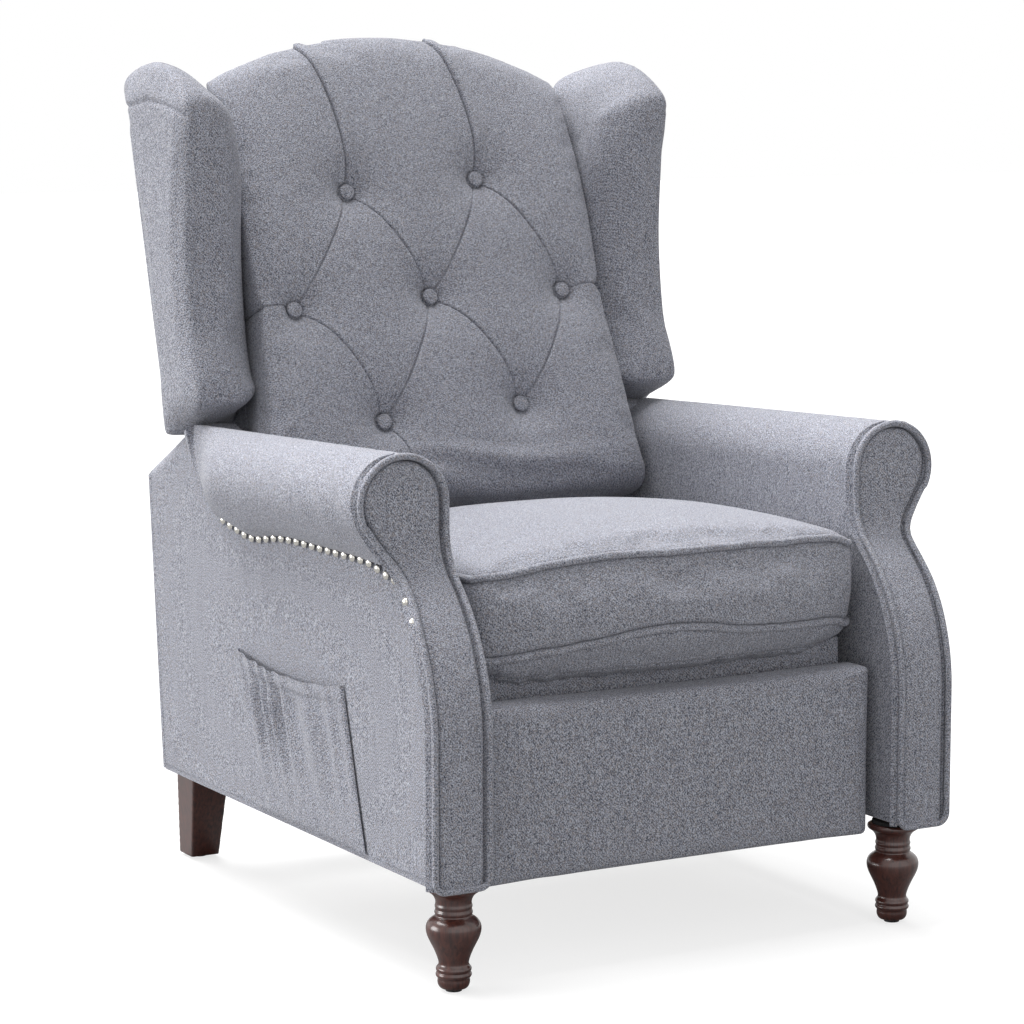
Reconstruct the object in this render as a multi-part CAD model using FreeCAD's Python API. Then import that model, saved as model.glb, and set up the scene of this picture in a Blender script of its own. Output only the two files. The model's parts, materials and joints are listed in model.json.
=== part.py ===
"""Push-back club recliner: wing back, rolled arms, fold-out footrest and its side linkages.

Millimetres, +Z up, the sitter looks along -Y, +X is the viewer's right.
The origin lies on the floor under the middle of the chair.
"""
import FreeCAD, Part
import math
import os

V = FreeCAD.Vector

os.makedirs("parts", exist_ok=True)

# Clearances
touch_gap = 0.3
running_gap = 0.05
cutter_reach = 20.0

# Legs and floor
glide_height = 3.0
glide_radius = 9.0
leg_disc_height = 4.0
leg_disc_radius = 25.0
arm_bottom = 123.0
front_leg_x = 296.0
front_leg_y = -368.0
leg_bulb_radius = 31.0
# Turned leg from the foot up: shares of the bulb's radius and of the leg's height
leg_profile = (
    (0.46, 0.0), ((0.64, 0.05), (0.60, 0.11)), (0.60, 0.12), (0.68, 0.15), (0.61, 0.18), (0.68, 0.21),
    (0.54, 0.245), ((0.66, 0.36), (0.94, 0.5)), ((1.0, 0.58), (0.86, 0.67)), (0.62, 0.705), (0.62, 0.725),
    (0.72, 0.745), (0.62, 0.765), (0.70, 0.785), (0.62, 0.805), ((0.694, 0.87), (0.92, 0.93)),
    ((1.0, 0.965), (0.94, 1.0)))
rear_leg_top_size = 50.0
rear_leg_foot_size = 38.0
rear_leg_top = (296.0, 288.0)
rear_leg_foot = (280.0, 338.0)

# Arms
arm_inner_x = 272.0
arm_outer_x = 336.0
arm_panel_thickness = 6.0
roll_radius = 55.0
roll_height = 533.0
roll_fall = 20.0 / 543.0
roll_tuck_angle = 75.0
arm_front_low = -408.0
arm_front_high = -311.0
scroll_drop = 28.0
scroll_upper_radius = 80.0
scroll_turn = 47.0
arm_front_skin = 16.0
arm_corner_radius = 12.0
arm_rear_bottom = 315.0
arm_rear_top_y = 354.0
arm_rear_top_drop = 28.0
arm_facet_start = 232.0
roll_end_high_y = 222.0
roll_end_high_rise = 12.0
roll_end_low_y = 135.0
roll_end_low_drop = 81.0
roll_end_taper = 110.0
roll_seam_drop = 73.0
arm_post_front_end = -240.0
arm_post_rear_start = 258.0
arm_rail_height = 50.0
arm_welt_radius = 3.5

# Decorative nails on the outer side of each arm
nail_radius = 4.8
nail_height = 2.2
nail_crown_share = 0.6
nail_sides = 8
nail_pitch = 20.0
nail_row_gap = 22.0
nail_row_rear = 125.0
nail_row_drop = 1.0
nail_setback = 22.0

# Side pocket on the viewer's left arm
pocket_front = -190.0
pocket_rear = 84.0
pocket_top = 314.0
pocket_top_sag = 10.0
pocket_lean = 51.0
pocket_cloth = 2.0
pocket_depth = 7.0
pocket_hem = 8.0
pocket_bottom_gap = 8.0

# Rails between the arms
stretcher_thickness = 30.0
stretcher_lift = 2.0
mid_stretcher_y = -20.0
mid_stretcher_height = 45.0
rear_stretcher_y = 290.0
rear_stretcher_height = 123.0

# Back: a raked frame behind a thicker, more raked cushion
back_ref_height = 711.0
back_rear_y = 330.0
back_rake = 15.5
back_panel_thickness = 5.0
back_frame_thickness = 32.0
back_frame_inset = 1.0
webbing_thickness = 3.0
webbing_width = 60.0
webbing_count = 4
stile_outer_x = 252.0
stile_width = 38.0
stile_bottom = -352.0
stile_top = 258.0
back_bottom_rail_height = 60.0
back_top_rail_height = 60.0
back_top_arch = 42.0
back_half_width = 248.0
back_front_y = 207.0
back_front_rake = 21.0
back_cushion_bottom = -284.0
back_cushion_corner = 292.0
back_cushion_arch = 48.0
back_cushion_bow = 3.0
# Sections of the back cushion from rear to front: share of its thickness and inset of its outline
back_cushion_rounding = ((0.0, 10.0), (0.3, 0.0), (0.72, 6.0), (1.0, 44.0))
outside_back_bottom = -465.0
outside_back_waist = -372.0
outside_back_tail = 228.0
outside_back_step = -158.0
outside_back_wide = 337.0
outside_back_narrow = 246.0
outside_back_corner = 262.0
outside_back_round = 12.0
button_pitch_x = 97.0
button_pitch_v = 150.0
button_radius = 10.5
button_height = 7.0
button_barrel = 2.0
tuft_depth = 24.0
tuft_radius = 40.0
tuft_mouth_height = 36.0
tuft_play = 1.5
top_pleat_spread = 1.06
pleat_width = 15.0
pleat_depth = 10.0

# Wings
wing_inner_x = 254.0
wing_outer_x = 345.0
wing_front_bottom_y = 189.0
wing_front_bottom_lift = 69.0
wing_rear_bottom_lift = 27.0
wing_front_top_y = 231.0
wing_front_top_drop = 78.0
wing_top_y = 328.0
wing_top_height = 1008.0
wing_rear_top_drop = 53.0
wing_rear_shoulder_setback = 10.0
wing_rear_shoulder_drop = 14.0
wing_front_shoulder_setback = 27.0
wing_front_shoulder_drop = 22.0
wing_middle_y = 290.0
wing_middle_drop = 218.0
# Sections of a wing from the inner side out: share of its thickness and share of its outline
wing_rounding = ((0.0, 0.88), (0.1, 0.97), (0.5, 1.0), (0.9, 0.97), (1.0, 0.88))
wing_board_thickness = 24.0
wing_board_share = 0.66

# Seat
seat_half_width = 250.0
seat_front = -368.0
seat_edge_height = 466.0
seat_foot_round = 8.0
seat_edge_round = 5.0
# Sections of the seat cushion: distance behind its nose, change of half-width, lift of its underside
# off the springs, change of edge height, and crown
seat_sections = (
    (0.0, -70.0, 42.0, -12.0, 3.0), (9.1, -25.0, 30.0, -4.0, 5.0), (26.0, 0.0, 16.0, 0.0, 8.0),
    (81.0, 2.0, 6.0, 2.0, 17.6), (136.0, 2.0, 0.0, 2.0, 22.0), (376.0, 1.0, 0.0, -6.0, 22.0),
    (466.0, -6.0, 0.0, -24.0, 10.0))
seat_lower_welt = 28.0
seat_welt_radius = 4.0
seat_welt_inset = 3.0
seat_welt_shoulder = 26.0
seat_welt_lead = 4.0
seat_welt_bow_share = 0.94
seat_welt_length = 350.0
seat_welt_rise = 2.0
seat_rail_width = 28.0
seat_rail_bottom = 290.0
seat_rail_top = 328.0
seat_box_front = -312.0
seat_box_rear = 112.0
front_cover_thickness = 6.0
front_cover_drop = 4.0
spring_count = 5
spring_bends = 8
spring_wire = 3.6
spring_half_width = 26.0
clip_half_width = 12.0
clip_length = 9.0
clip_setback = 1.0

# Mechanism: layers of flat steel links, counted inwards from the arm
plate_thickness = 4.0
base_plate_thickness = 3.0
head_thickness = 1.2
swing_clearance = 2.0
layer_spare = 0.2
bracket_setback = 11.0
layer_pitch = plate_thickness + head_thickness + 2 * touch_gap + layer_spare
layer_swing = arm_inner_x - base_plate_thickness - swing_clearance - plate_thickness
layer_drive = layer_swing - layer_pitch
layer_long = layer_drive - layer_pitch
layer_cross = layer_long - layer_pitch
layer_short = layer_cross - layer_pitch
layer_seat = layer_short - layer_pitch
layer_bracket = layer_swing - bracket_setback
link_width = 22.0
plate_width = 28.0
pin_radius = 5.0
back_pin_radius = 6.0
head_radius = 8.5
back_collar_radius = 10.5
open_hole_slack = 0.9
cross_tube_radius = 9.0
cross_tube_wall = 2.0
cross_tube_reach = 75.0

# Mechanism pivots at rest, as (y, z)
back_pivot = (244.0, 400.0)
swing_pivot = (20.0, 400.0)
swing_arm = (23.3, -86.9)
drive_rear = (-81.6, 273.1)
drive_front = (-267.6, 286.5)
long_pivot = (-245.0, 305.0)
short_offset = (55.0, -38.0)
long_arm = (55.0, -128.0)
tail_arm = (18.0, -46.0)
cross_arm = (-115.0, 103.0)
bracket_top = (252.0, 505.0)

# Footrest
footrest_half_width = 260.0
footrest_front = -368.0
footrest_bottom = 109.0
footrest_top = 310.0
footrest_pad_thickness = 30.0
footrest_board_thickness = 15.0
footrest_board_inset = 6.0
footrest_corner = 14.0
# Sections of the footrest pad: distance behind its face and inset of its outline
footrest_rounding = ((0.0, 9.0), (3.0, 3.0), (9.0, 0.0))
flange_width = 40.0


def add(a, b):
    """Sum of two (y, z) points."""
    return (a[0] + b[0], a[1] + b[1])


def side(x):
    """Places (y, z) points in the plane at x."""
    return lambda y, z: V(x, y, z)


def front(y):
    """Places (x, z) points in the plane at y."""
    return lambda x, z: V(x, y, z)


def outline(place, start, *steps):
    """Closed wire: each step is an end point, or a (middle, end) pair for an arc."""
    edges = []
    here = place(*start)
    for step in steps:
        if isinstance(step[0], tuple):
            middle, end = place(*step[0]), place(*step[1])
            edges.append(Part.Arc(here, middle, end).toShape())
        else:
            end = place(*step)
            edges.append(Part.LineSegment(here, end).toShape())
        here = end
    return Part.Wire(edges)


def prism(wire, travel):
    return Part.Face(wire).extrude(travel)


def block(x, y, z):
    return Part.makeBox(x[1] - x[0], y[1] - y[0], z[1] - z[0], V(x[0], y[0], z[0]))


def mirrored(shape):
    return shape.mirror(V(0, 0, 0), V(1, 0, 0))


def pair(shape):
    """The piece on the viewer's right and its twin on the left."""
    return [shape, mirrored(shape)]


def save(name, solids):
    """Writes one node: a single solid, or a group of separate solids."""
    pieces = solids if isinstance(solids, list) else [solids]
    loose = [solid for piece in pieces for solid in piece.Solids]
    shape = loose[0] if len(loose) == 1 else Part.makeCompound(loose)
    shape.exportStep(f"parts/{name}.step")


def pin(point, x0, x1, radius=pin_radius):
    return Part.makeCylinder(radius, x1 - x0, V(x0, *point), V(1, 0, 0))


def headed_pin(point, x0, x1, radius=pin_radius):
    """Rivet through plates from x0 to x1, with a thin head outside each end."""
    rivet = pin(point, x0 - touch_gap, x1 + touch_gap, radius)
    inner = pin(point, x0 - touch_gap - head_thickness, x0 - touch_gap, head_radius)
    outer = pin(point, x1 + touch_gap, x1 + touch_gap + head_thickness, head_radius)
    return rivet.fuse([inner, outer]).removeSplitter()


def collared_pin(point, seat_x, near_x, far_x, radius=pin_radius):
    """Shoulder bolt from the plate at seat_x out through the plate from near_x to far_x."""
    bolt = pin(point, seat_x, far_x + touch_gap, radius)
    collar_start = seat_x + plate_thickness + touch_gap
    collar = pin(point, collar_start, near_x - touch_gap, head_radius)
    head = pin(point, far_x + touch_gap, far_x + touch_gap + head_thickness, head_radius)
    return bolt.fuse([collar, head]).removeSplitter()


def bar(a, b, x0, width=link_width, thickness=plate_thickness):
    """Flat link with rounded ends from point a to point b."""
    along = V(0, b[0] - a[0], b[1] - a[1])
    across = V(0, -along.z, along.y).normalize() * (width / 2)
    start, end = V(x0, *a), V(x0, *b)
    corners = [start + across, end + across, end - across, start - across]
    face = Part.Face(Part.makePolygon(corners + corners[:1]))
    ends = [pin(point, x0, x0 + thickness, width / 2) for point in (a, b)]
    return face.extrude(V(thickness, 0, 0)).fuse(ends)


def plate(bars, holes):
    """Fuses bars into one plate and drills its pivot holes."""
    body = bars[0].fuse(bars[1:]).removeSplitter() if len(bars) > 1 else bars[0].removeSplitter()
    for point, x0, radius in holes:
        drill = pin(point, x0 - touch_gap, x0 + plate_thickness + touch_gap, radius + running_gap)
        body = body.cut(drill)
    return body


# Arms

roll_x = arm_inner_x + roll_radius
scroll_top = roll_height - scroll_drop
roll_seam = roll_height - roll_seam_drop
arm_rear_top = (arm_rear_top_y, roll_height - arm_rear_top_drop)
roll_end_high = (roll_end_high_y, roll_height + roll_end_high_rise)
roll_end_low = (roll_end_low_y, roll_height - roll_end_low_drop)


def roll_z(y):
    return roll_height - roll_fall * (y - arm_front_high)


def roll_point(y, angle):
    reach = math.radians(angle)
    return (roll_x + roll_radius * math.cos(reach), roll_z(y) + roll_radius * math.sin(reach))


def neck_height(y):
    """Height on the outer wall where the tuck under the roll begins."""
    tuck = roll_point(y, -roll_tuck_angle)
    turn = math.radians(roll_tuck_angle)
    return tuck[1] - (tuck[0] - arm_outer_x) * math.sin(turn) / (1 - math.cos(turn))


def arm_section(y):
    """Front view of the arm: straight walls, a rounded foot and the roll on top."""
    tuck = roll_point(y, -roll_tuck_angle)
    turn = math.radians(roll_tuck_angle)
    neck_radius = (tuck[0] - arm_outer_x) / (1 - math.cos(turn))
    neck_x, neck_z = arm_outer_x + neck_radius, neck_height(y)
    neck_mid = (neck_x - neck_radius * math.cos(turn / 2), neck_z + neck_radius * math.sin(turn / 2))
    r = arm_corner_radius
    slack = r * (1 - math.sqrt(0.5))
    inner, outer, foot = arm_inner_x, arm_outer_x, arm_bottom
    return outline(
        front(y), (inner, foot + r), (inner, roll_z(y)),
        (roll_point(y, 135), roll_point(y, 90)), (roll_point(y, 45), roll_point(y, 0)),
        (roll_point(y, -roll_tuck_angle / 2), tuck), (neck_mid, (outer, neck_z)), (outer, foot + r),
        ((outer - slack, foot + slack), (outer - r, foot)), (inner + r, foot),
        ((inner + slack, foot + slack), (inner, foot + r)))


turn_angle = math.radians(scroll_turn)
scroll_rise = 1 - math.cos(turn_angle)
scroll_lower_radius = (arm_front_high - arm_front_low) / scroll_rise - scroll_upper_radius


def scroll_points(offset):
    """The S of the arm front, moved back by offset along its own normal, top to bottom."""
    upper, lower = scroll_upper_radius + offset, scroll_lower_radius - offset
    top_y = arm_front_high + offset
    upper_centre = (top_y - upper, scroll_top)
    bend = (upper_centre[0] + upper * math.cos(turn_angle), scroll_top - upper * math.sin(turn_angle))
    lower_centre = (bend[0] + lower * math.cos(turn_angle), bend[1] - lower * math.sin(turn_angle))
    half = turn_angle / 2
    upper_mid = (upper_centre[0] + upper * math.cos(half), scroll_top - upper * math.sin(half))
    lower_mid = (lower_centre[0] - lower * math.cos(half), lower_centre[1] + lower * math.sin(half))
    low = (lower_centre[0] - lower, lower_centre[1])
    return (top_y, scroll_top), upper_mid, bend, lower_mid, low


def arm_side(offset):
    """Side view of the arm as a wide prism; its scrolled front moves back by offset."""
    top, upper_mid, bend, lower_mid, low = scroll_points(offset)
    above = roll_height + 2 * roll_radius
    facet_top = roll_z(arm_facet_start) + roll_radius
    wire = outline(
        side(arm_inner_x - cutter_reach), (low[0], arm_bottom - cutter_reach), low,
        (lower_mid, bend), (upper_mid, top),
        (top[0], above), (arm_facet_start, above), (arm_facet_start, facet_top), arm_rear_top,
        (arm_rear_bottom, arm_bottom - cutter_reach), (low[0], arm_bottom - cutter_reach))
    return prism(wire, V(2 * (roll_radius + cutter_reach), 0, 0))


far_front, far_rear = arm_front_low - cutter_reach, arm_rear_top[0] + cutter_reach
arm_body = Part.makeLoft([arm_section(far_front), arm_section(far_rear)], True, True)


def roll_end():
    """Wedge that takes the overhang of the roll away along a slanting seam at the rear."""
    high, low = V(arm_outer_x, *roll_end_high), V(arm_outer_x, *roll_end_low)
    tip = (high + low) * 0.5 + V(roll_radius, -roll_end_taper, 0)
    along, out = (high - low) * 2, (tip - (high + low) * 0.5) * 2
    middle = (high + low) * 0.5
    corners = [middle + along, middle + along + out, middle - along + out, middle - along]
    slant = Part.Face(Part.makePolygon(corners + corners[:1]))
    return slant.extrude(V(0, 2 * (far_rear - far_front), 0))


overhang = block((arm_outer_x, arm_outer_x + 2 * roll_radius),
                 (far_front - cutter_reach, far_rear + cutter_reach), (0, 2 * roll_height))
arm_body = arm_body.cut(roll_end().common(overhang))
arm_behind = arm_body.common(arm_side(arm_front_skin))
arm_front = arm_body.common(arm_side(0)).cut(arm_side(arm_front_skin))
wide_y = (far_front, far_rear)
core_x = (arm_inner_x + arm_panel_thickness, arm_outer_x - arm_panel_thickness)
above_seam = (roll_seam, roll_height + 2 * roll_radius)
below_seam = (arm_bottom, roll_seam)
wide_x = (arm_inner_x - cutter_reach, roll_x + roll_radius + cutter_reach)
arm_roll = arm_behind.common(block(wide_x, wide_y, above_seam))
arm_outer = arm_behind.common(block((core_x[1], wide_x[1]), wide_y, below_seam))
arm_inner = arm_behind.common(block((wide_x[0], core_x[0]), wide_y, below_seam))
front_post = arm_behind.common(block(core_x, (far_front, arm_post_front_end), below_seam))
rear_post = arm_behind.common(block(core_x, (arm_post_rear_start, far_rear), below_seam))
between_posts = (arm_post_front_end, arm_post_rear_start)
top_rail = block(core_x, between_posts, (roll_seam - arm_rail_height, roll_seam))
bottom_rail = block(core_x, between_posts, (arm_bottom, arm_bottom + arm_rail_height))
for label, shape in (("roll", arm_roll), ("outer_panel", arm_outer), ("inner_panel", arm_inner)):
    save(f"right_arm_{label}", shape)
    save(f"left_arm_{label}", mirrored(shape))
save("arm_posts", pair(front_post) + pair(rear_post))
save("arm_rails", pair(top_rail) + pair(bottom_rail))

# Piping round the arm fronts: a run up each edge of the scroll and a ring round the roll

welt_lift = -(arm_welt_radius + touch_gap)


def tube_section(radius, centre, travel):
    """Eight-sided section of piping about centre, square to travel."""
    across = V(1, 0, 0) if abs(travel.x) < 0.5 else V(0, 1, 0)
    u = travel.cross(across).normalize() * radius
    v = travel.cross(u).normalize() * radius
    turns = [math.tau * i / 8 for i in range(8)]
    corners = [centre + u * math.cos(turn) + v * math.sin(turn) for turn in turns]
    return Part.makePolygon(corners + corners[:1])


def welt_run(x, top_z):
    """Piping up one edge of the scroll, from the foot to top_z."""
    top, upper_mid, bend, lower_mid, low = scroll_points(welt_lift)
    foot = (low[0], arm_bottom + arm_corner_radius)
    place = side(x)
    path = Part.Wire([
        Part.LineSegment(place(*foot), place(*low)).toShape(),
        Part.Arc(place(*low), place(*lower_mid), place(*bend)).toShape(),
        Part.Arc(place(*bend), place(*upper_mid), place(*top)).toShape()])
    run = path.makePipeShell([tube_section(arm_welt_radius, place(*foot), V(0, 0, 1))], True, False)
    return run.common(block((x - cutter_reach, x + cutter_reach), wide_y, (0, top_z)))


ring_y = arm_front_high + welt_lift
ring_reach = roll_radius - arm_welt_radius
ring_start = math.radians(-roll_tuck_angle)
ring_mouth = V(roll_x + ring_reach * math.cos(ring_start), ring_y,
               roll_height + ring_reach * math.sin(ring_start))
ring_travel = V(-math.sin(ring_start), 0, math.cos(ring_start))


def roll_ring(radius):
    """Tube round the face of the roll, from the tuck to the inner wall."""
    mouth = Part.Face(tube_section(radius, ring_mouth, ring_travel))
    return mouth.revolve(V(roll_x, ring_y, roll_height), V(0, -1, 0), 180 + roll_tuck_angle)


welt_ring = roll_ring(arm_welt_radius)
arm_front = arm_front.cut(roll_ring(arm_welt_radius + 2 * touch_gap))
save("right_arm_front", arm_front)
save("left_arm_front", mirrored(arm_front))
neck_top = roll_point(arm_front_high, -roll_tuck_angle)[1] - arm_welt_radius
inner_welt = welt_run(arm_inner_x + arm_welt_radius, scroll_top)
outer_welt = welt_run(arm_outer_x - arm_welt_radius, neck_top)
inner_link = Part.makeCylinder(
    arm_welt_radius, roll_height - scroll_top - 2 * touch_gap,
    V(arm_inner_x + arm_welt_radius, ring_y, scroll_top + touch_gap))
save("arm_welts", pair(inner_welt) + pair(outer_welt) + pair(inner_link) + pair(welt_ring))

# Nailheads: a dipping row under the roll, then a row down behind the front piping


def nail(y, z):
    """Low faceted dome on the outer side of the arm."""
    rings = []
    turns = [math.tau * i / nail_sides for i in range(nail_sides)]
    crown_radius = nail_radius * nail_crown_share
    for x, radius in ((arm_outer_x + touch_gap, nail_radius), (arm_outer_x + nail_height, crown_radius)):
        corners = [V(x, y + radius * math.cos(turn), z + radius * math.sin(turn)) for turn in turns]
        rings.append(Part.makePolygon(corners + corners[:1]))
    return Part.makeLoft(rings, True, True)


top, upper_mid, bend, lower_mid, low = scroll_points(nail_setback)
row_length = nail_row_rear - top[0]
row_count = round(row_length / nail_pitch)
nails = []
for i in range(row_count + 1):
    y = nail_row_rear - row_length * i / row_count
    nails.append(nail(y, neck_height(y) - nail_radius - nail_row_drop))
front_path = Part.Wire([
    Part.Arc(V(0, *top), V(0, *upper_mid), V(0, *bend)).toShape(),
    Part.Arc(V(0, *bend), V(0, *lower_mid), V(0, *low)).toShape(),
    Part.LineSegment(V(0, *low), V(0, low[0], arm_bottom + arm_corner_radius)).toShape()])
for point in front_path.discretize(Distance=nail_pitch):
    if point.z < neck_height(top[0]) - nail_row_gap:
        nails.append(nail(point.y, point.z))
save("arm_nailheads", [twin for solid in nails for twin in pair(solid)])

# Pocket on the viewer's left arm: a front sheet that stands off the arm on three sewn edges

pocket_floor = arm_bottom + pocket_bottom_gap
pocket_middle = (pocket_front + pocket_rear) / 2
low_front, high_front = (pocket_front - pocket_lean, pocket_floor), (pocket_front, pocket_top)
low_rear, high_rear = (pocket_rear - pocket_lean, pocket_floor), (pocket_rear, pocket_top)
hem_lean = pocket_hem * pocket_lean / (pocket_top - pocket_floor)
on_arm = side(-arm_outer_x - touch_gap)
sheet_wire = outline(
    side(-arm_outer_x - touch_gap - pocket_depth), low_front, low_rear, high_rear,
    ((pocket_middle, pocket_top - pocket_top_sag), high_front), low_front)
inner_front, inner_rear = add(low_front, (pocket_hem, 0)), add(low_rear, (-pocket_hem, 0))
hem_wires = (
    outline(on_arm, low_front, inner_front, add(high_front, (pocket_hem, 0)), high_front, low_front),
    outline(on_arm, inner_rear, low_rear, high_rear, add(high_rear, (-pocket_hem, 0)), inner_rear),
    outline(on_arm, inner_front, inner_rear, add(inner_rear, (hem_lean, pocket_hem)),
            add(inner_front, (hem_lean, pocket_hem)), inner_front))
hems = [prism(wire, V(-pocket_depth, 0, 0)) for wire in hem_wires]
save("side_pocket", [prism(sheet_wire, V(-pocket_cloth, 0, 0))] + hems)

# Rails between the arms

for label, y, height in (("mid_stretcher", mid_stretcher_y, mid_stretcher_height),
                         ("rear_stretcher", rear_stretcher_y, rear_stretcher_height)):
    reach_y = (y - stretcher_thickness / 2, y + stretcher_thickness / 2)
    stretcher_bottom = arm_bottom + stretcher_lift
    save(label, block((-arm_inner_x, arm_inner_x), reach_y, (stretcher_bottom, stretcher_bottom + height)))

# Turned front legs, tapered rear legs, discs and glides

leg_top = arm_bottom - leg_disc_height


def turned_leg():
    """Vase leg: flared top, ringed neck, bulb, taper, double ring and small foot."""
    def scaled(step):
        if isinstance(step[0], tuple):
            return tuple(scaled(point) for point in step)
        return (step[0] * leg_bulb_radius, glide_height + step[1] * (leg_top - glide_height))

    steps = [scaled(step) for step in leg_profile]
    profile = outline(front(0), (0, glide_height), *steps, (0, leg_top), (0, glide_height))
    return Part.Face(profile).revolve(V(0, 0, 0), V(0, 0, 1), 360)


def tapered_leg():
    def square(centre, size, z):
        x, y = centre
        h = size / 2
        corners = [V(x - h, y - h, z), V(x + h, y - h, z), V(x + h, y + h, z), V(x - h, y + h, z)]
        return Part.makePolygon(corners + corners[:1])

    foot = square(rear_leg_foot, rear_leg_foot_size, glide_height)
    return Part.makeLoft([foot, square(rear_leg_top, rear_leg_top_size, arm_bottom)], True, True)


front_leg = turned_leg().translate(V(front_leg_x, front_leg_y, 0))
rear_leg = tapered_leg()
for label, shape in (("front", front_leg), ("rear", rear_leg)):
    save(f"right_{label}_leg", shape)
    save(f"left_{label}_leg", mirrored(shape))
disc = Part.makeCylinder(leg_disc_radius, leg_disc_height, V(front_leg_x, front_leg_y, leg_top))
save("front_leg_discs", pair(disc))
glides = [Part.makeCylinder(glide_radius, glide_height, V(x, y, 0))
          for x, y in ((front_leg_x, front_leg_y), rear_leg_foot)]
save("leg_glides", pair(glides[0]) + pair(glides[1]))

# Back: local u across, v up the rake and w forwards, measured from the rear plane


def on_back(shape, y=back_rear_y, rake=back_rake):
    """Leans a shape built upright about the origin and sets it at the back's reference height."""
    leaning = shape.copy()
    leaning.rotate(V(0, 0, 0), V(1, 0, 0), -rake)
    leaning.translate(V(0, y, back_ref_height))
    return leaning


def slab(u, v, w):
    return on_back(block(u, (-w[1], -w[0]), v))


frame_w = (back_frame_inset, back_frame_inset + back_frame_thickness)
stile_inner_x = stile_outer_x - stile_width
save("back_stiles", pair(slab((stile_inner_x, stile_outer_x), (stile_bottom, stile_top), frame_w)))
rail_u = (-stile_inner_x, stile_inner_x)
rail_bottom = stile_bottom + back_bottom_rail_height / 2
save("back_bottom_rail", slab(rail_u, (rail_bottom, rail_bottom + back_bottom_rail_height), frame_w))
rail_low, rail_high = stile_top - back_top_rail_height, stile_top
top_rail_wire = outline(
    front(-frame_w[1]), (rail_u[0], rail_low), (rail_u[1], rail_low), (rail_u[1], rail_high),
    ((0, rail_high + back_top_arch), (rail_u[0], rail_high)), (rail_u[0], rail_low))
save("back_top_rail", on_back(prism(top_rail_wire, V(0, back_frame_thickness, 0))))
webbing_w = (frame_w[1], frame_w[1] + webbing_thickness)
webbing_span = rail_low - (rail_bottom + back_bottom_rail_height)
webbing_end = stile_outer_x - stile_width / 2
webbing = []
for i in range(webbing_count):
    middle = rail_low - webbing_span * (i + 0.5) / webbing_count
    band_v = (middle - webbing_width / 2, middle + webbing_width / 2)
    webbing.append(slab((-webbing_end, webbing_end), band_v, webbing_w))
save("back_webbing", webbing)

corner_x = outside_back_wide - outside_back_round
corner_v = outside_back_corner - outside_back_round
panel_wire = outline(
    front(0), (-outside_back_tail, outside_back_bottom), (outside_back_tail, outside_back_bottom),
    (outside_back_tail, outside_back_waist), (outside_back_narrow, outside_back_waist),
    (outside_back_narrow, outside_back_step), (outside_back_wide, outside_back_step),
    (outside_back_wide, outside_back_corner - back_top_arch),
    ((corner_x, corner_v), (outside_back_narrow, outside_back_corner)),
    ((0, outside_back_corner + back_top_arch), (-outside_back_narrow, outside_back_corner)),
    ((-corner_x, corner_v), (-outside_back_wide, outside_back_corner - back_top_arch)),
    (-outside_back_wide, outside_back_step), (-outside_back_narrow, outside_back_step),
    (-outside_back_narrow, outside_back_waist), (-outside_back_tail, outside_back_waist),
    (-outside_back_tail, outside_back_bottom))
save("outside_back", on_back(prism(panel_wire, V(0, back_panel_thickness, 0))))


def cushion_ring(share, inset):
    """Outline of the back cushion between its rear plane (share 0) and its front plane (share 1)."""
    rear_y = back_rear_y - (webbing_w[1] + touch_gap) / math.cos(math.radians(back_rake))
    y = rear_y + share * (back_front_y - rear_y)
    rake = back_rake + share * (back_front_rake - back_rake)
    half = back_half_width - inset
    low, high = back_cushion_bottom + inset, back_cushion_corner - inset
    wire = outline(
        front(0), (-half, low), ((0, low - back_cushion_bow), (half, low)),
        ((half + back_cushion_bow, 0), (half, high)), ((0, high + back_cushion_arch), (-half, high)),
        ((-half - back_cushion_bow, 0), (-half, low)))
    return on_back(wire, y, rake)


def tuft_point(u, v, depth):
    """Point on the cushion's front plane, sunk by depth along its normal."""
    rake = math.radians(back_front_rake)
    return V(u, back_front_y + v * math.sin(rake) + depth * math.cos(rake),
             back_ref_height + v * math.cos(rake) - depth * math.sin(rake))


front_rake = math.radians(back_front_rake)
out_of_back = V(0, -math.cos(front_rake), math.sin(front_rake))
buttons = {
    "top_left": (-button_pitch_x, button_pitch_v), "top_right": (button_pitch_x, button_pitch_v),
    "left": (-2 * button_pitch_x, 0), "middle": (0, 0), "right": (2 * button_pitch_x, 0),
    "low_left": (-button_pitch_x, -button_pitch_v), "low_right": (button_pitch_x, -button_pitch_v)}
pleats = (
    ("top_left", "left"), ("top_left", "middle"), ("top_right", "middle"), ("top_right", "right"),
    ("left", "low_left"), ("middle", "low_left"), ("middle", "low_right"), ("right", "low_right"))


def pleat(a, b):
    """V-shaped groove between two points on the cushion's front plane."""
    start, end = tuft_point(*a, -pleat_depth), tuft_point(*b, -pleat_depth)
    across = (end - start).cross(out_of_back).normalize() * pleat_width
    corners = [start + across, start - across, start - out_of_back * (2 * pleat_depth)]
    return Part.Face(Part.makePolygon(corners + corners[:1])).extrude(end - start)


back_cushion = Part.makeLoft([cushion_ring(*section) for section in back_cushion_rounding], True, False)
tucks = [pleat(buttons[a], buttons[b]) for a, b in pleats]
for name in ("top_left", "top_right"):
    u, v = buttons[name]
    tucks.append(pleat((u, v), (u * top_pleat_spread, back_cushion_corner + back_cushion_arch)))
for name, reach in (("left", -back_half_width), ("right", back_half_width)):
    tucks.append(pleat(buttons[name], (reach, 0)))
mouths = []
for u, v in buttons.values():
    mouths.append(Part.makeCone(button_radius + tuft_play, tuft_radius, tuft_mouth_height,
                                tuft_point(u, v, tuft_depth), out_of_back))
back_cushion = back_cushion.cut(tucks + mouths)
save("back_cushion", max(back_cushion.Solids, key=lambda solid: solid.Volume))


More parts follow.
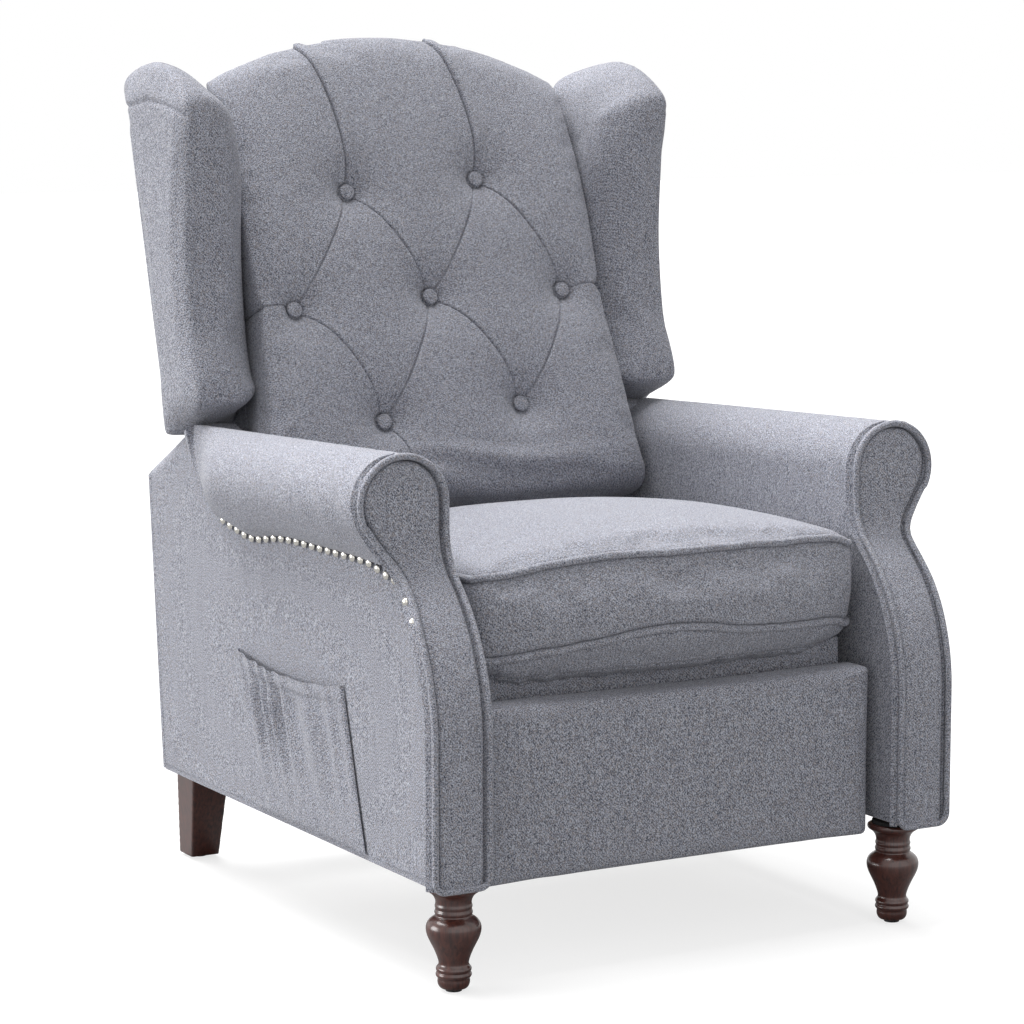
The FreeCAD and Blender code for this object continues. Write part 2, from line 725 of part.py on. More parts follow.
def button(u, v):
    """Covered button: a low dome on a short barrel."""
    r, h = button_radius, button_height
    cap = h - button_barrel
    ball = (r * r + cap * cap) / (2 * cap)
    half = math.asin(r / ball) / 2
    crown = (ball * math.sin(half), h - ball + ball * math.cos(half))
    profile = outline(front(0), (0, 0), (r, 0), (r, button_barrel), (crown, (0, h)), (0, 0))
    dome = Part.Face(profile).revolve(V(0, 0, 0), V(0, 0, 1), 360)
    dome.rotate(V(0, 0, 0), V(1, 0, 0), 90 - back_front_rake)
    dome.translate(tuft_point(u, v, tuft_depth - touch_gap))
    return dome


save("back_buttons", [button(u, v) for u, v in buttons.values()])

# Wings: padded blocks round a board


def rear_edge(z):
    """Rear edge of a wing, just in front of the outside back."""
    return back_rear_y + (z - back_ref_height) * math.tan(math.radians(back_rake)) - touch_gap


def wing_ring(x, share):
    """Side view of a wing, shrunk about its middle to the given share."""
    middle = (wing_middle_y, wing_top_height - wing_middle_drop)

    def shrunk(point):
        return tuple(m + share * (p - m) for p, m in zip(point, middle))

    low_rear_height = roll_height + wing_rear_bottom_lift
    high_rear_height = wing_top_height - wing_rear_top_drop
    points = [
        (wing_front_bottom_y, roll_height + wing_front_bottom_lift),
        (rear_edge(low_rear_height), low_rear_height),
        (rear_edge(high_rear_height), high_rear_height),
        (rear_edge(high_rear_height) - wing_rear_shoulder_setback, wing_top_height - wing_rear_shoulder_drop),
        (wing_top_y, wing_top_height),
        (wing_front_top_y + wing_front_shoulder_setback, wing_top_height - wing_front_shoulder_drop),
        (wing_front_top_y, wing_top_height - wing_front_top_drop)]
    a, b, c, d, e, f, g = [shrunk(point) for point in points]
    return outline(side(x), a, b, c, (d, e), (f, g), a)


wing_thickness = wing_outer_x - wing_inner_x
wing_rings = [wing_ring(wing_inner_x + depth * wing_thickness, share) for depth, share in wing_rounding]
wing = Part.makeLoft(wing_rings, True, False)
board_x = (wing_inner_x + wing_outer_x - wing_board_thickness) / 2
wing_board = prism(wing_ring(board_x, wing_board_share), V(wing_board_thickness, 0, 0))
wing = wing.cut(wing_board)
save("right_wing", wing)
save("left_wing", mirrored(wing))
save("wing_boards", pair(wing_board))

# Seat cushion, its piping, the box below it and the springs

seat_underside = seat_rail_top + spring_wire + touch_gap


def seat_ring(behind, wider, lift, rise, crown):
    """Front view of the cushion behind its nose: flat underside, bulged sides and a crowned top."""
    half, low, high = seat_half_width + wider, seat_underside + lift, seat_edge_height + rise
    foot, edge, middle = half - seat_foot_round, half - seat_edge_round, (low + high) / 2
    return outline(
        front(seat_front + behind), (-foot, low), (foot, low), ((half, middle), (edge, high)),
        ((0, high + crown), (-edge, high)), ((-half, middle), (-foot, low)))


seat_block = Part.makeLoft([seat_ring(*section) for section in seat_sections], True, True)


def seat_piping(height, radius):
    """Bowed tube along the front edge of the cushion and a straight tube along each side."""
    corner = seat_half_width - seat_welt_inset
    shoulder = seat_front + seat_welt_shoulder
    bow_x, bow_y = corner * seat_welt_bow_share, shoulder - seat_welt_lead
    bow = Part.Arc(V(-bow_x, bow_y, height), V(0, seat_front, height), V(bow_x, bow_y, height)).toShape()
    mouth = Part.Wire(Part.makeCircle(radius, bow.firstVertex().Point, bow.tangentAt(bow.FirstParameter)))
    front_run = Part.Wire(bow).makePipeShell([mouth], True, False)
    start = V(corner, shoulder, height + seat_welt_rise)
    side_run = Part.makeCylinder(radius, seat_welt_length, start, V(0, 1, 0))
    return [front_run] + pair(side_run)


welts, grooves = [], []
for height in (seat_edge_height + seat_welt_radius / 2, seat_underside + seat_lower_welt):
    welts += seat_piping(height, seat_welt_radius)
    grooves += seat_piping(height, seat_welt_radius + touch_gap)
save("seat_cushion", max(seat_block.cut(grooves).Solids, key=lambda solid: solid.Volume))
save("seat_welts", welts)

box_y = (seat_box_front, seat_box_rear)
rail_z = (seat_rail_bottom, seat_rail_top)
seat_box_half_width = layer_seat - touch_gap
rail_inner = seat_box_half_width - seat_rail_width
save("seat_side_rails", pair(block((rail_inner, seat_box_half_width), box_y, rail_z)))
inner_x = (-rail_inner, rail_inner)
save("seat_front_rail", block(inner_x, (seat_box_front, seat_box_front + seat_rail_width), rail_z))
save("seat_rear_rail", block(inner_x, (seat_box_rear - seat_rail_width, seat_box_rear), rail_z))
cover_y = (seat_box_front - front_cover_thickness, seat_box_front)
save("seat_front_cover", block((-seat_box_half_width, seat_box_half_width), cover_y,
                               (seat_rail_bottom - front_cover_drop, seat_underside - touch_gap)))


def zigzag_spring(x):
    """One sinuous spring: straight cross runs joined by half-turn bends."""
    start = seat_box_front + seat_rail_width / 2
    length = seat_box_rear - seat_rail_width / 2 - start
    pitch = length / spring_bends
    z = seat_rail_top + spring_wire / 2
    bend = pitch / 2
    edges = []
    sign = 1
    here = V(x, start, z)
    for i in range(spring_bends):
        run_end = V(x + sign * (spring_half_width - bend), start + i * pitch, z)
        edges.append(Part.LineSegment(here, run_end).toShape())
        middle = run_end + V(sign * bend, bend, 0)
        here = run_end + V(0, pitch, 0)
        edges.append(Part.Arc(run_end, middle, here).toShape())
        sign = -sign
    edges.append(Part.LineSegment(here, V(x, start + length, z)).toShape())
    h = spring_wire / 2
    section = [V(x, start - h, z - h), V(x, start + h, z - h), V(x, start + h, z + h), V(x, start - h, z + h)]
    return Part.Wire(edges).makePipeShell([Part.makePolygon(section + section[:1])], True, False)


spring_pitch = 2 * rail_inner / spring_count
spring_x = [-rail_inner + spring_pitch * (i + 0.5) for i in range(spring_count)]
save("seat_springs", [zigzag_spring(x) for x in spring_x])
clip_z = (seat_rail_top, seat_rail_top + spring_wire)
clip_front, clip_rear = seat_box_front + clip_setback, seat_box_rear - clip_setback
clips = []
for x in spring_x:
    clip_x = (x - clip_half_width, x + clip_half_width)
    clips.append(block(clip_x, (clip_front, clip_front + clip_length), clip_z))
    clips.append(block(clip_x, (clip_rear - clip_length, clip_rear), clip_z))
save("seat_spring_clips", clips)

# Mechanism, modelled on the viewer's right and mirrored

swing_seat = add(swing_pivot, swing_arm)
back_seat = add(back_pivot, swing_arm)
short_pivot = add(long_pivot, short_offset)
long_cross = add(long_pivot, long_arm)
short_cross = add(short_pivot, long_arm)
long_tail = add(long_cross, tail_arm)
cross_end = add(long_cross, cross_arm)
tail_end = add(cross_end, tail_arm)
base_x = arm_inner_x - base_plate_thickness

base_plate = bar(swing_pivot, back_pivot, base_x, plate_width, base_plate_thickness)
for point, radius in ((swing_pivot, pin_radius), (back_pivot, back_pin_radius)):
    base_plate = base_plate.cut(pin(point, base_x - touch_gap, arm_inner_x + touch_gap, radius + running_gap))
save("base_plates", pair(base_plate.removeSplitter()))
swing_bolt = pin(swing_pivot, layer_swing - touch_gap, arm_inner_x)
swing_head = pin(swing_pivot, layer_swing - touch_gap - head_thickness, layer_swing - touch_gap, head_radius)
back_bolt = pin(back_pivot, layer_bracket + touch_gap, arm_inner_x, back_pin_radius)
collar_start = layer_bracket + plate_thickness + touch_gap
back_collar = pin(back_pivot, collar_start, base_x - touch_gap, back_collar_radius)
save("base_pivot_pins", pair(swing_bolt.fuse(swing_head).removeSplitter())
     + pair(back_bolt.fuse(back_collar).removeSplitter()))

bracket = plate(
    [bar(a, b, layer_bracket, plate_width) for a, b in ((back_seat, back_pivot), (back_pivot, bracket_top))],
    [(back_seat, layer_bracket, pin_radius), (back_pivot, layer_bracket, back_pin_radius)])
save("back_brackets", pair(bracket))

seat_runs = ((long_pivot, swing_seat), (swing_seat, back_seat), (long_pivot, short_pivot))
seat_plate = plate(
    [bar(a, b, layer_seat, plate_width) for a, b in seat_runs],
    [(point, layer_seat, pin_radius) for point in (long_pivot, short_pivot, swing_seat, back_seat)])
save("seat_plates", pair(seat_plate))
seat_pins = (
    collared_pin(back_seat, layer_seat, layer_bracket, layer_bracket + plate_thickness),
    collared_pin(swing_seat, layer_seat, layer_swing, layer_swing + plate_thickness),
    collared_pin(long_pivot, layer_seat, layer_long, layer_long + plate_thickness),
    collared_pin(short_pivot, layer_seat, layer_short, layer_short + plate_thickness))
save("seat_pivot_pins", [twin for solid in seat_pins for twin in pair(solid)])

swing_link = plate(
    [bar(swing_pivot, swing_seat, layer_swing), bar(swing_seat, drive_rear, layer_swing),
     bar(swing_pivot, drive_rear, layer_swing)],
    [(point, layer_swing, pin_radius) for point in (swing_pivot, swing_seat, drive_rear)])
save("swing_links", pair(swing_link))
save("swing_link_rivets", pair(headed_pin(drive_rear, layer_drive, layer_swing + plate_thickness)))

open_hole = pin_radius + open_hole_slack
drive_link = plate([bar(drive_rear, drive_front, layer_drive)],
                   [(drive_rear, layer_drive, pin_radius), (drive_front, layer_drive, open_hole)])
save("drive_links", pair(drive_link))
short_link = plate([bar(short_pivot, short_cross, layer_short)],
                   [(point, layer_short, pin_radius) for point in (short_pivot, short_cross)])
save("short_links", pair(short_link))
long_link = plate(
    [bar(long_pivot, long_cross, layer_long), bar(long_cross, long_tail, layer_long),
     bar(long_pivot, drive_front, layer_long)],
    [(point, layer_long, pin_radius) for point in (long_pivot, long_cross, long_tail, drive_front)])
tube_share = cross_tube_reach / math.hypot(*long_arm)
tube_point = (long_pivot[0] + tube_share * long_arm[0], long_pivot[1] + tube_share * long_arm[1])
save("long_links", pair(long_link))
long_rivets = (
    headed_pin(long_cross, layer_cross, layer_long + plate_thickness),
    headed_pin(long_tail, layer_long, layer_drive + plate_thickness),
    headed_pin(drive_front, layer_long, layer_drive + plate_thickness))
save("long_link_rivets", [twin for solid in long_rivets for twin in pair(solid)])
tube = pin(tube_point, -layer_long, layer_long, cross_tube_radius)
tube_bore = pin(tube_point, -layer_long, layer_long, cross_tube_radius - cross_tube_wall)
save("cross_tube", tube.cut(tube_bore))
cross_link = plate(
    [bar(short_cross, long_cross, layer_cross), bar(long_cross, cross_end, layer_cross)],
    [(point, layer_cross, pin_radius) for point in (short_cross, long_cross, cross_end)])
save("cross_links", pair(cross_link))
cross_rivets = (
    headed_pin(short_cross, layer_short, layer_cross + plate_thickness),
    headed_pin(cross_end, layer_cross, layer_long + plate_thickness))
save("cross_link_rivets", [twin for solid in cross_rivets for twin in pair(solid)])
tail_link = plate([bar(long_tail, tail_end, layer_drive)],
                  [(point, layer_drive, pin_radius) for point in (long_tail, tail_end)])
save("tail_links", pair(tail_link))

# Footrest: padded panel on a board, carried by two brackets

board_front = footrest_front + footrest_pad_thickness
board_rear = board_front + footrest_board_thickness


def panel_ring(y, inset):
    """Rounded rectangle of the footrest panel at y."""
    x = footrest_half_width - inset
    low, high = footrest_bottom + inset, footrest_top - inset
    r = footrest_corner
    slack = r * (1 - math.sqrt(0.5))
    return outline(
        front(y), (-x + r, low), (x - r, low), ((x - slack, low + slack), (x, low + r)), (x, high - r),
        ((x - slack, high - slack), (x - r, high)), (-x + r, high),
        ((-x + slack, high - slack), (-x, high - r)), (-x, low + r),
        ((-x + slack, low + slack), (-x + r, low)))


pad_rings = [panel_ring(footrest_front + behind, inset) for behind, inset in footrest_rounding]
pad_rings.append(panel_ring(board_front - touch_gap, 0))
save("footrest_pad", Part.makeLoft(pad_rings, True, True))
board_ring = panel_ring(board_front, footrest_board_inset)
save("footrest_board", prism(board_ring, V(0, footrest_board_thickness, 0)))
foot_high = (board_rear + link_width / 2 - plate_thickness, cross_end[1])
foot_low = (foot_high[0], tail_end[1])
foot_bracket = plate(
    [bar(foot_high, cross_end, layer_long), bar(foot_high, foot_low, layer_long),
     bar(foot_low, tail_end, layer_long)],
    [(point, layer_long, pin_radius) for point in (cross_end, tail_end)])
behind_board = block((0, arm_inner_x), (board_rear, 0), (0, footrest_top))
flange = block((layer_long - flange_width, layer_long + plate_thickness),
               (board_rear, board_rear + plate_thickness),
               (foot_low[1] - link_width / 2, foot_high[1] + link_width / 2))
foot_bracket = foot_bracket.common(behind_board).fuse(flange).removeSplitter()
save("footrest_brackets", pair(foot_bracket))
save("footrest_rivets", pair(headed_pin(tail_end, layer_long, layer_drive + plate_thickness)))
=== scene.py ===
"""Dresses a push-back wing recliner: upholstery, piping, tufts, nails, turned legs, finishes and a studio.

Metres, +Z up, the sitter looks along -Y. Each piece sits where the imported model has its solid.
"""
import json
import math

import bmesh
import bpy
import numpy as np
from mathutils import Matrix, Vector, kdtree
from mathutils.bvhtree import BVHTree


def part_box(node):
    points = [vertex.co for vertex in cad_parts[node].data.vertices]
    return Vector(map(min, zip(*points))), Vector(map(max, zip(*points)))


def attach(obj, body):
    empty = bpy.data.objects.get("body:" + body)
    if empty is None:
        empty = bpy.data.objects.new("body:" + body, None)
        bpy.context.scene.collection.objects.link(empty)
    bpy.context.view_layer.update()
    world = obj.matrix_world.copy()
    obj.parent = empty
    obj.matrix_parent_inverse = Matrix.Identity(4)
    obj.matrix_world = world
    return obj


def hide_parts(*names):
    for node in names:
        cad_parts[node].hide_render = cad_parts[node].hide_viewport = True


bl_info = {
    "name": "Push-back recliner dressing",
    "version": (1, 0, 0),
    "blender": (4, 5, 0),
    "location": "View3D > Sidebar > Recliner",
    "description": "Upholstery, trim, finishes and stage of a tufted wing-back recliner",
    "category": "Object",
}

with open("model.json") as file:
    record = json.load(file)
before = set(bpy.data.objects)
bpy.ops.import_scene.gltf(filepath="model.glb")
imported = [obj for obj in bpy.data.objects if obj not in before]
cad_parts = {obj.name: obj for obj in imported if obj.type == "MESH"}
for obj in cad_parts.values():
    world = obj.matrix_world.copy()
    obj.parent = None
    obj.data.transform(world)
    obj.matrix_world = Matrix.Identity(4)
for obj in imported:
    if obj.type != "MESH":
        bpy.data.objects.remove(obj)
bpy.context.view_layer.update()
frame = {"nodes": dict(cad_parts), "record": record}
MM = 0.001


def linear(hex_colour):
    """Linear RGB of an sRGB hex colour."""
    channels = [int(hex_colour[i:i + 2], 16) / 255 for i in (1, 3, 5)]
    return [c / 12.92 if c <= 0.04045 else ((c + 0.055) / 1.055) ** 2.4 for c in channels]


def colour_property(name, description, hex_colour):
    return bpy.props.FloatVectorProperty(
        name=name, description=description, default=linear(hex_colour), subtype="COLOR", min=0, max=1)


def length_property(name, description, millimetres):
    return bpy.props.FloatProperty(
        name=name, description=description, default=millimetres * MM, subtype="DISTANCE", unit="LENGTH")


class RECLINER_Finishes(bpy.types.PropertyGroup):
    """Colours of the cloth, wood and metal."""
    warm_yarn: colour_property("Warm yarn", "Brownish yarn spun in with the pale one", "#aaa5a6")
    light_yarn: colour_property("Light yarn", "Pale yarn of the heathered twill", "#bcbfca")
    dark_yarn: colour_property("Dark yarn", "Blue-grey yarn of the heathered twill", "#434754")
    leg_stain: colour_property("Leg stain", "Mahogany stain of the legs", "#522a21")
    leg_glaze: colour_property("Leg glaze", "Darker stain in the grain of the legs", "#2e1411")
    nail_metal: colour_property("Nail metal", "Nickel of the nailheads", "#dcd9d2")


class RECLINER_Padding(bpy.types.PropertyGroup):
    """Sizes of the soft goods and trim."""
    piping_radius: length_property("Piping radius", "Radius of the piping on arms and seat", 3.8)
    tuft_depth: length_property("Tuft depth", "How far a button is drawn into the back", 22.0)
    button_radius: length_property("Button radius", "Radius of the covered buttons", 10.0)
    nail_radius: length_property("Nail radius", "Radius of a nailhead", 5.7)
    nail_pitch: length_property("Nail pitch", "Distance between nailheads", 20.0)
    twill_pitch: length_property("Twill pitch", "Spacing of the twill ribs as drawn", 2.8)


def padding():
    return bpy.context.scene.recliner_padding


def finishes():
    return bpy.context.scene.recliner_finishes


# Shader helpers


def add_node(tree, kind, settings=None, links=None):
    """Adds a shader node, sets its values by socket or attribute name and links its inputs."""
    node = tree.nodes.new(kind)
    for key, value in (settings or {}).items():
        if isinstance(key, int) or key in node.inputs:
            node.inputs[key].default_value = value
        else:
            setattr(node, key, value)
    for key, source in (links or {}).items():
        tree.links.new(source, node.inputs[key])
    return node


def start_material(name):
    """An empty material with its Principled shader and object coordinates."""
    material = bpy.data.materials.new(name)
    material.use_nodes = True
    tree = material.node_tree
    tree.nodes.clear()
    shader = add_node(tree, "ShaderNodeBsdfPrincipled")
    add_node(tree, "ShaderNodeOutputMaterial", links={"Surface": shader.outputs["BSDF"]})
    coords = add_node(tree, "ShaderNodeTexCoord").outputs["Object"]
    return material, tree, shader, coords


def noise(tree, vector, size_mm, detail, **more):
    settings = {"Scale": 1 / (size_mm * MM), "Detail": detail, **more}
    return add_node(tree, "ShaderNodeTexNoise", settings, {"Vector": vector}).outputs["Fac"]


def stretched(tree, vector, height_scale):
    """Coordinates in which a texture is drawn out along Z."""
    return add_node(tree, "ShaderNodeMapping", {"Scale": (1, 1, height_scale)}, {"Vector": vector}).outputs[0]


def ranged(tree, value, to=(0, 1), start=(0, 1), clamp=True):
    """A value carried from one range to another."""
    settings = {"From Min": start[0], "From Max": start[1], "To Min": to[0], "To Max": to[1], "clamp": clamp}
    return add_node(tree, "ShaderNodeMapRange", settings, {"Value": value}).outputs[0]


def added(tree, first, second, clamp=False):
    settings = {"operation": "ADD", "use_clamp": clamp}
    return add_node(tree, "ShaderNodeMath", settings, {0: first, 1: second}).outputs[0]


def coloured(tree, share, first, second, blend="MIX"):
    """A blend of two colours; share and colours are values or the outputs of other nodes."""
    settings, links = {"data_type": "RGBA", "blend_type": blend}, {}
    for socket, source in ((0, share), (6, first), (7, second)):
        chosen = links if isinstance(source, bpy.types.NodeSocket) else settings
        chosen[socket] = source
    return add_node(tree, "ShaderNodeMix", settings, links).outputs[2]


def surfaced(tree, shader, colour, height, relief, values):
    """Links a colour and a relief of (strength, depth in mm) to a shader and sets its other values."""
    strength, depth_mm = relief
    bump = add_node(tree, "ShaderNodeBump", {"Strength": strength, "Distance": depth_mm * MM},
                    {"Height": height})
    tree.links.new(colour, shader.inputs["Base Color"])
    tree.links.new(bump.outputs[0], shader.inputs["Normal"])
    for key, value in values.items():
        shader.inputs[key].default_value = value


def heathered_twill():
    """Woven polyester twill of pale and blue-grey yarns: a soft, matt, speckled surface with fine diagonals.

    The ribs of the real cloth are under 2 mm apart, so they are drawn wider in order to show.
    """
    material, tree, shader, coords = start_material("heathered_twill")
    wave_scale = math.tau / (10 * padding().twill_pitch * math.sqrt(2))
    ribs = add_node(tree, "ShaderNodeTexWave", {
        "bands_direction": "DIAGONAL", "Scale": wave_scale, "Distortion": 3.5, "Detail": 1.0,
        "Detail Scale": 1.0}, {"Vector": coords}).outputs["Fac"]
    speckle = noise(tree, stretched(tree, coords, 0.5), 0.75, 0.0)
    warp = noise(tree, stretched(tree, coords, 0.04), 2.5, 2.0)
    tint = noise(tree, coords, 1.7, 0.0)
    flecks = ranged(tree, speckle, (0, 1), (0.28, 0.72), clamp=False)
    weave = added(tree, ranged(tree, ribs, (-0.10, 0.10)), flecks)
    share = added(tree, weave, ranged(tree, warp, (-0.16, 0.16)), clamp=True)
    warm_share = ranged(tree, tint, (0, 1), (0.50, 0.62))
    pale = coloured(tree, warm_share, (*finishes().light_yarn, 1), (*finishes().warm_yarn, 1))
    yarn = coloured(tree, share, (*finishes().dark_yarn, 1), pale)
    surfaced(tree, shader, yarn, weave, (0.2, 0.3), {
        "Roughness": 0.92, "Specular IOR Level": 0.25, "Sheen Weight": 0.12, "Sheen Roughness": 0.5})
    return material


def stained_wood(name, stain, glaze, grain_mm, roughness, coat):
    """Turned or sawn timber: streaks along the grain under a stain, with lacquer where it is coated."""
    material, tree, shader, coords = start_material(name)
    grain = noise(tree, stretched(tree, coords, 0.08), grain_mm, 4.0, Distortion=0.6)
    tone = coloured(tree, ranged(tree, grain, (0, 1), (0.35, 0.7)), (*stain, 1), (*glaze, 1))
    surfaced(tree, shader, tone, grain, (0.12, 0.3), {
        "Roughness": roughness, "Coat Weight": coat, "Coat Roughness": 0.18})
    return material


def metal(name, colour, roughness, metallic, grit_mm):
    """Plated or painted steel: an even colour whose gloss breaks up with fine grit."""
    material, tree, shader, coords = start_material(name)
    grit = noise(tree, coords, grit_mm, 3.0)
    gloss = ranged(tree, grit, (roughness * 0.75, roughness * 1.25))
    tone = coloured(tree, 1.0, (*colour, 1), ranged(tree, grit, (0.85, 1.1)), "MULTIPLY")
    surfaced(tree, shader, tone, grit, (0.1, 0.1), {"Metallic": metallic})
    tree.links.new(gloss, shader.inputs["Roughness"])
    return material


def woven_band(name, hex_colour, thread_mm, roughness):
    """Elastic webbing, felt or nylon: a dark matt surface with a fine regular texture."""
    material, tree, shader, coords = start_material(name)
    threads = add_node(tree, "ShaderNodeTexWave", {
        "bands_direction": "X", "Scale": math.tau / (20 * thread_mm * MM), "Distortion": 0.5},
        {"Vector": coords}).outputs["Fac"]
    height = added(tree, threads, noise(tree, coords, 0.8, 2.0))
    shade = ranged(tree, height, (0.6, 1.4), (0, 2.0))
    tone = coloured(tree, 1.0, (*linear(hex_colour), 1), shade, "MULTIPLY")
    surfaced(tree, shader, tone, height, (0.3, 0.3), {"Roughness": roughness})
    return material


MADE = {}


def finish_for(key):
    """The material under a short key, made when it is first asked for."""
    stains = finishes().leg_stain, finishes().leg_glaze
    makers = {
        "cloth": (heathered_twill,),
        "leg": (stained_wood, "mahogany_lacquer", *stains, 3.0, 0.3, 0.6),
        "timber": (stained_wood, "sawn_pine", linear("#b08a5c"), linear("#8d6a43"), 5.0, 0.75, 0.0),
        "nickel": (metal, "satin_nickel", finishes().nail_metal, 0.22, 1.0, 1.5),
        "zinc": (metal, "zinc_plate", linear("#b9bab8"), 0.38, 1.0, 2.0),
        "steel": (metal, "black_painted_steel", linear("#26272a"), 0.5, 0.0, 2.5),
        "wire": (metal, "oiled_spring_wire", linear("#5a5a5c"), 0.42, 1.0, 2.0),
        "webbing": (woven_band, "elastic_webbing", "#3a352e", 2.0, 0.85),
        "felt": (woven_band, "pressed_felt", "#1a1a1b", 1.5, 0.95),
        "nylon": (woven_band, "moulded_nylon", "#202022", 4.0, 0.5)}
    if key not in MADE:
        maker, *values = makers[key]
        MADE[key] = maker(*values)
    return MADE[key]


# Mesh helpers

SIDES = (("right", 1), ("left", -1))
# Pressure in a seat or back cushion, and how far it may swell
CUSHION_PRESSURE, CUSHION_SWELL = 3.0, 0.008
CLOTH_SETTINGS = {
    "quality": 4, "mass": 0.3, "tension_stiffness": 15, "compression_stiffness": 15, "shear_stiffness": 8,
    "bending_stiffness": 1.5, "use_pressure": True}


def deselect():
    if bpy.context.object and bpy.context.object.mode != "OBJECT":
        bpy.ops.object.mode_set(mode="OBJECT")
    bpy.ops.object.select_all(action="DESELECT")


def choose(piece):
    deselect()
    piece.select_set(True)
    bpy.context.view_layer.objects.active = piece


def cleaned(piece, merge=None, outwards=True):
    """Merges points that are closer than merge and turns the faces outwards."""
    choose(piece)
    bpy.ops.object.mode_set(mode="EDIT")
    bpy.ops.mesh.select_all(action="SELECT")
    if merge:
        bpy.ops.mesh.remove_doubles(threshold=merge)
    if outwards:
        bpy.ops.mesh.normals_make_consistent(inside=False)
    bpy.ops.object.mode_set(mode="OBJECT")


def linked(name, data):
    """A new object in the scene for a mesh, curve, light or camera."""
    piece = bpy.data.objects.new(name, data)
    bpy.context.scene.collection.objects.link(piece)
    return piece


def mesh_piece(name, points, faces, edges=()):
    mesh = bpy.data.meshes.new(name)
    mesh.from_pydata(np.asarray(points).reshape(-1, 3).tolist(), list(edges), faces)
    return linked(name, mesh)


def loft(name, rings):
    """Closed skin through rings of equal point counts, with a cap at each end."""
    rings = np.asarray(rings)
    levels, count = rings.shape[:2]
    index = np.arange(levels * count).reshape(levels, count)
    after = np.roll(index, -1, axis=1)
    faces = np.stack([index[:-1], after[:-1], after[1:], index[1:]], -1).reshape(-1, 4).tolist()
    faces += [index[0][::-1].tolist(), index[-1].tolist()]
    piece = mesh_piece(name, rings, faces)
    cleaned(piece, 1e-6)
    return piece


def panel(name, grid, thickness, outward):
    """A padded panel: a grid of points as its outer face, thickened inwards.

    The middle of the grid faces outward.
    """
    grid = np.asarray(grid)
    rows, columns = grid.shape[:2]
    row, column = rows // 2, columns // 2
    corner = grid[row, column]
    facing = np.cross(grid[row, column + 1] - corner, grid[row + 1, column] - corner)
    if facing @ np.array(outward) < 0:
        grid = grid[:, ::-1]
    index = np.arange(rows * columns).reshape(rows, columns)
    faces = np.stack([index[:-1, :-1], index[:-1, 1:], index[1:, 1:], index[1:, :-1]], -1).reshape(-1, 4)
    piece = mesh_piece(name, grid, faces.tolist())
    apply_modifier(piece, "SOLIDIFY", thickness=thickness, offset=-1.0)
    cleaned(piece, 2e-5)
    return piece


def apply_modifier(piece, kind, **settings):
    choose(piece)
    modifier = piece.modifiers.new(kind.title(), kind)
    for key, value in settings.items():
        setattr(modifier, key, value)
    bpy.ops.object.modifier_apply(modifier=modifier.name)


def read_values(piece, key):
    values = np.empty(len(piece.data.vertices) * 3)
    piece.data.vertices.foreach_get(key, values)
    return values.reshape(-1, 3)


def read_points(piece):
    return read_values(piece, "co")


def read_normals(piece):
    return read_values(piece, "normal")


def write_points(piece, points):
    piece.data.vertices.foreach_set("co", np.ascontiguousarray(points, dtype=np.float32).ravel())
    piece.data.update()


def subdivided(piece):
    apply_modifier(piece, "SUBSURF", levels=1, render_levels=1)


def remeshed(piece, voxel):
    choose(piece)
    piece.data.remesh_voxel_size = voxel
    bpy.ops.object.voxel_remesh()


def inflated(piece, pressure, cap, frames=20):
    """Swells a closed piece by cloth pressure; no point moves further than cap."""
    choose(piece)
    rest = read_points(piece)
    cloth = piece.modifiers.new("Cloth", "CLOTH")
    for key, value in CLOTH_SETTINGS.items():
        setattr(cloth.settings, key, value)
    cloth.settings.uniform_pressure_force = pressure
    cloth.settings.effector_weights.gravity = 0
    cloth.collision_settings.use_collision = False
    cloth.point_cache.frame_end = frames
    scene = bpy.context.scene
    for step in range(1, frames + 1):
        scene.frame_set(step)
    bpy.ops.object.modifier_apply(modifier=cloth.name)
    moved = read_points(piece) - rest
    length = np.linalg.norm(moved, axis=1, keepdims=True)
    write_points(piece, rest + moved * np.minimum(1, cap / np.maximum(length, 1e-9)))
    scene.frame_set(1)


def tube(name, points, radius, closed=False):
    """Round piping along a path."""
    curve = bpy.data.curves.new(name, "CURVE")
    curve.dimensions = "3D"
    curve.bevel_depth = radius
    curve.bevel_resolution = 3
    curve.use_fill_caps = True
    line = curve.splines.new("POLY")
    line.points.add(len(points) - 1)
    line.points.foreach_set("co", np.c_[np.asarray(points), np.ones(len(points))].ravel())
    line.use_cyclic_u = closed
    choose(linked(name, curve))
    bpy.ops.object.convert(target="MESH")
    return bpy.context.object


def pressed_along(piece, path, reach, depth):
    """Draws the skin in along a path, as stitching does."""
    tree = kdtree.KDTree(len(path))
    for i, point in enumerate(path):
        tree.insert(point, i)
    tree.balance()
    points, normals = read_points(piece), read_normals(piece)
    gap = np.array([tree.find(point)[2] for point in points])
    share = np.clip(1 - gap / reach, 0, 1)[:, None] ** 2
    write_points(piece, points - normals * share * depth)


def skin_tree(piece):
    corners = [vertex.co.copy() for vertex in piece.data.vertices]
    return BVHTree.FromPolygons(corners, [list(face.vertices) for face in piece.data.polygons])


def landed(piece, starts, direction):
    """Where rays from the starts meet the piece, or the starts themselves where they miss."""
    tree = skin_tree(piece)
    hits = [tree.ray_cast(Vector(start), Vector(direction))[0] for start in starts]
    return np.array([hit if hit else start for hit, start in zip(hits, starts)])


def nearest(piece, points):
    """The points of the skin that lie nearest to the given points."""
    tree = skin_tree(piece)
    return np.array([tree.find_nearest(Vector(point))[0] for point in points])


def eased(line, passes):
    """An open line with its small kinks averaged out."""
    line = np.array(line)
    for _ in range(passes):
        line[1:-1] = 0.25 * line[:-2] + 0.5 * line[1:-1] + 0.25 * line[2:]
    return line


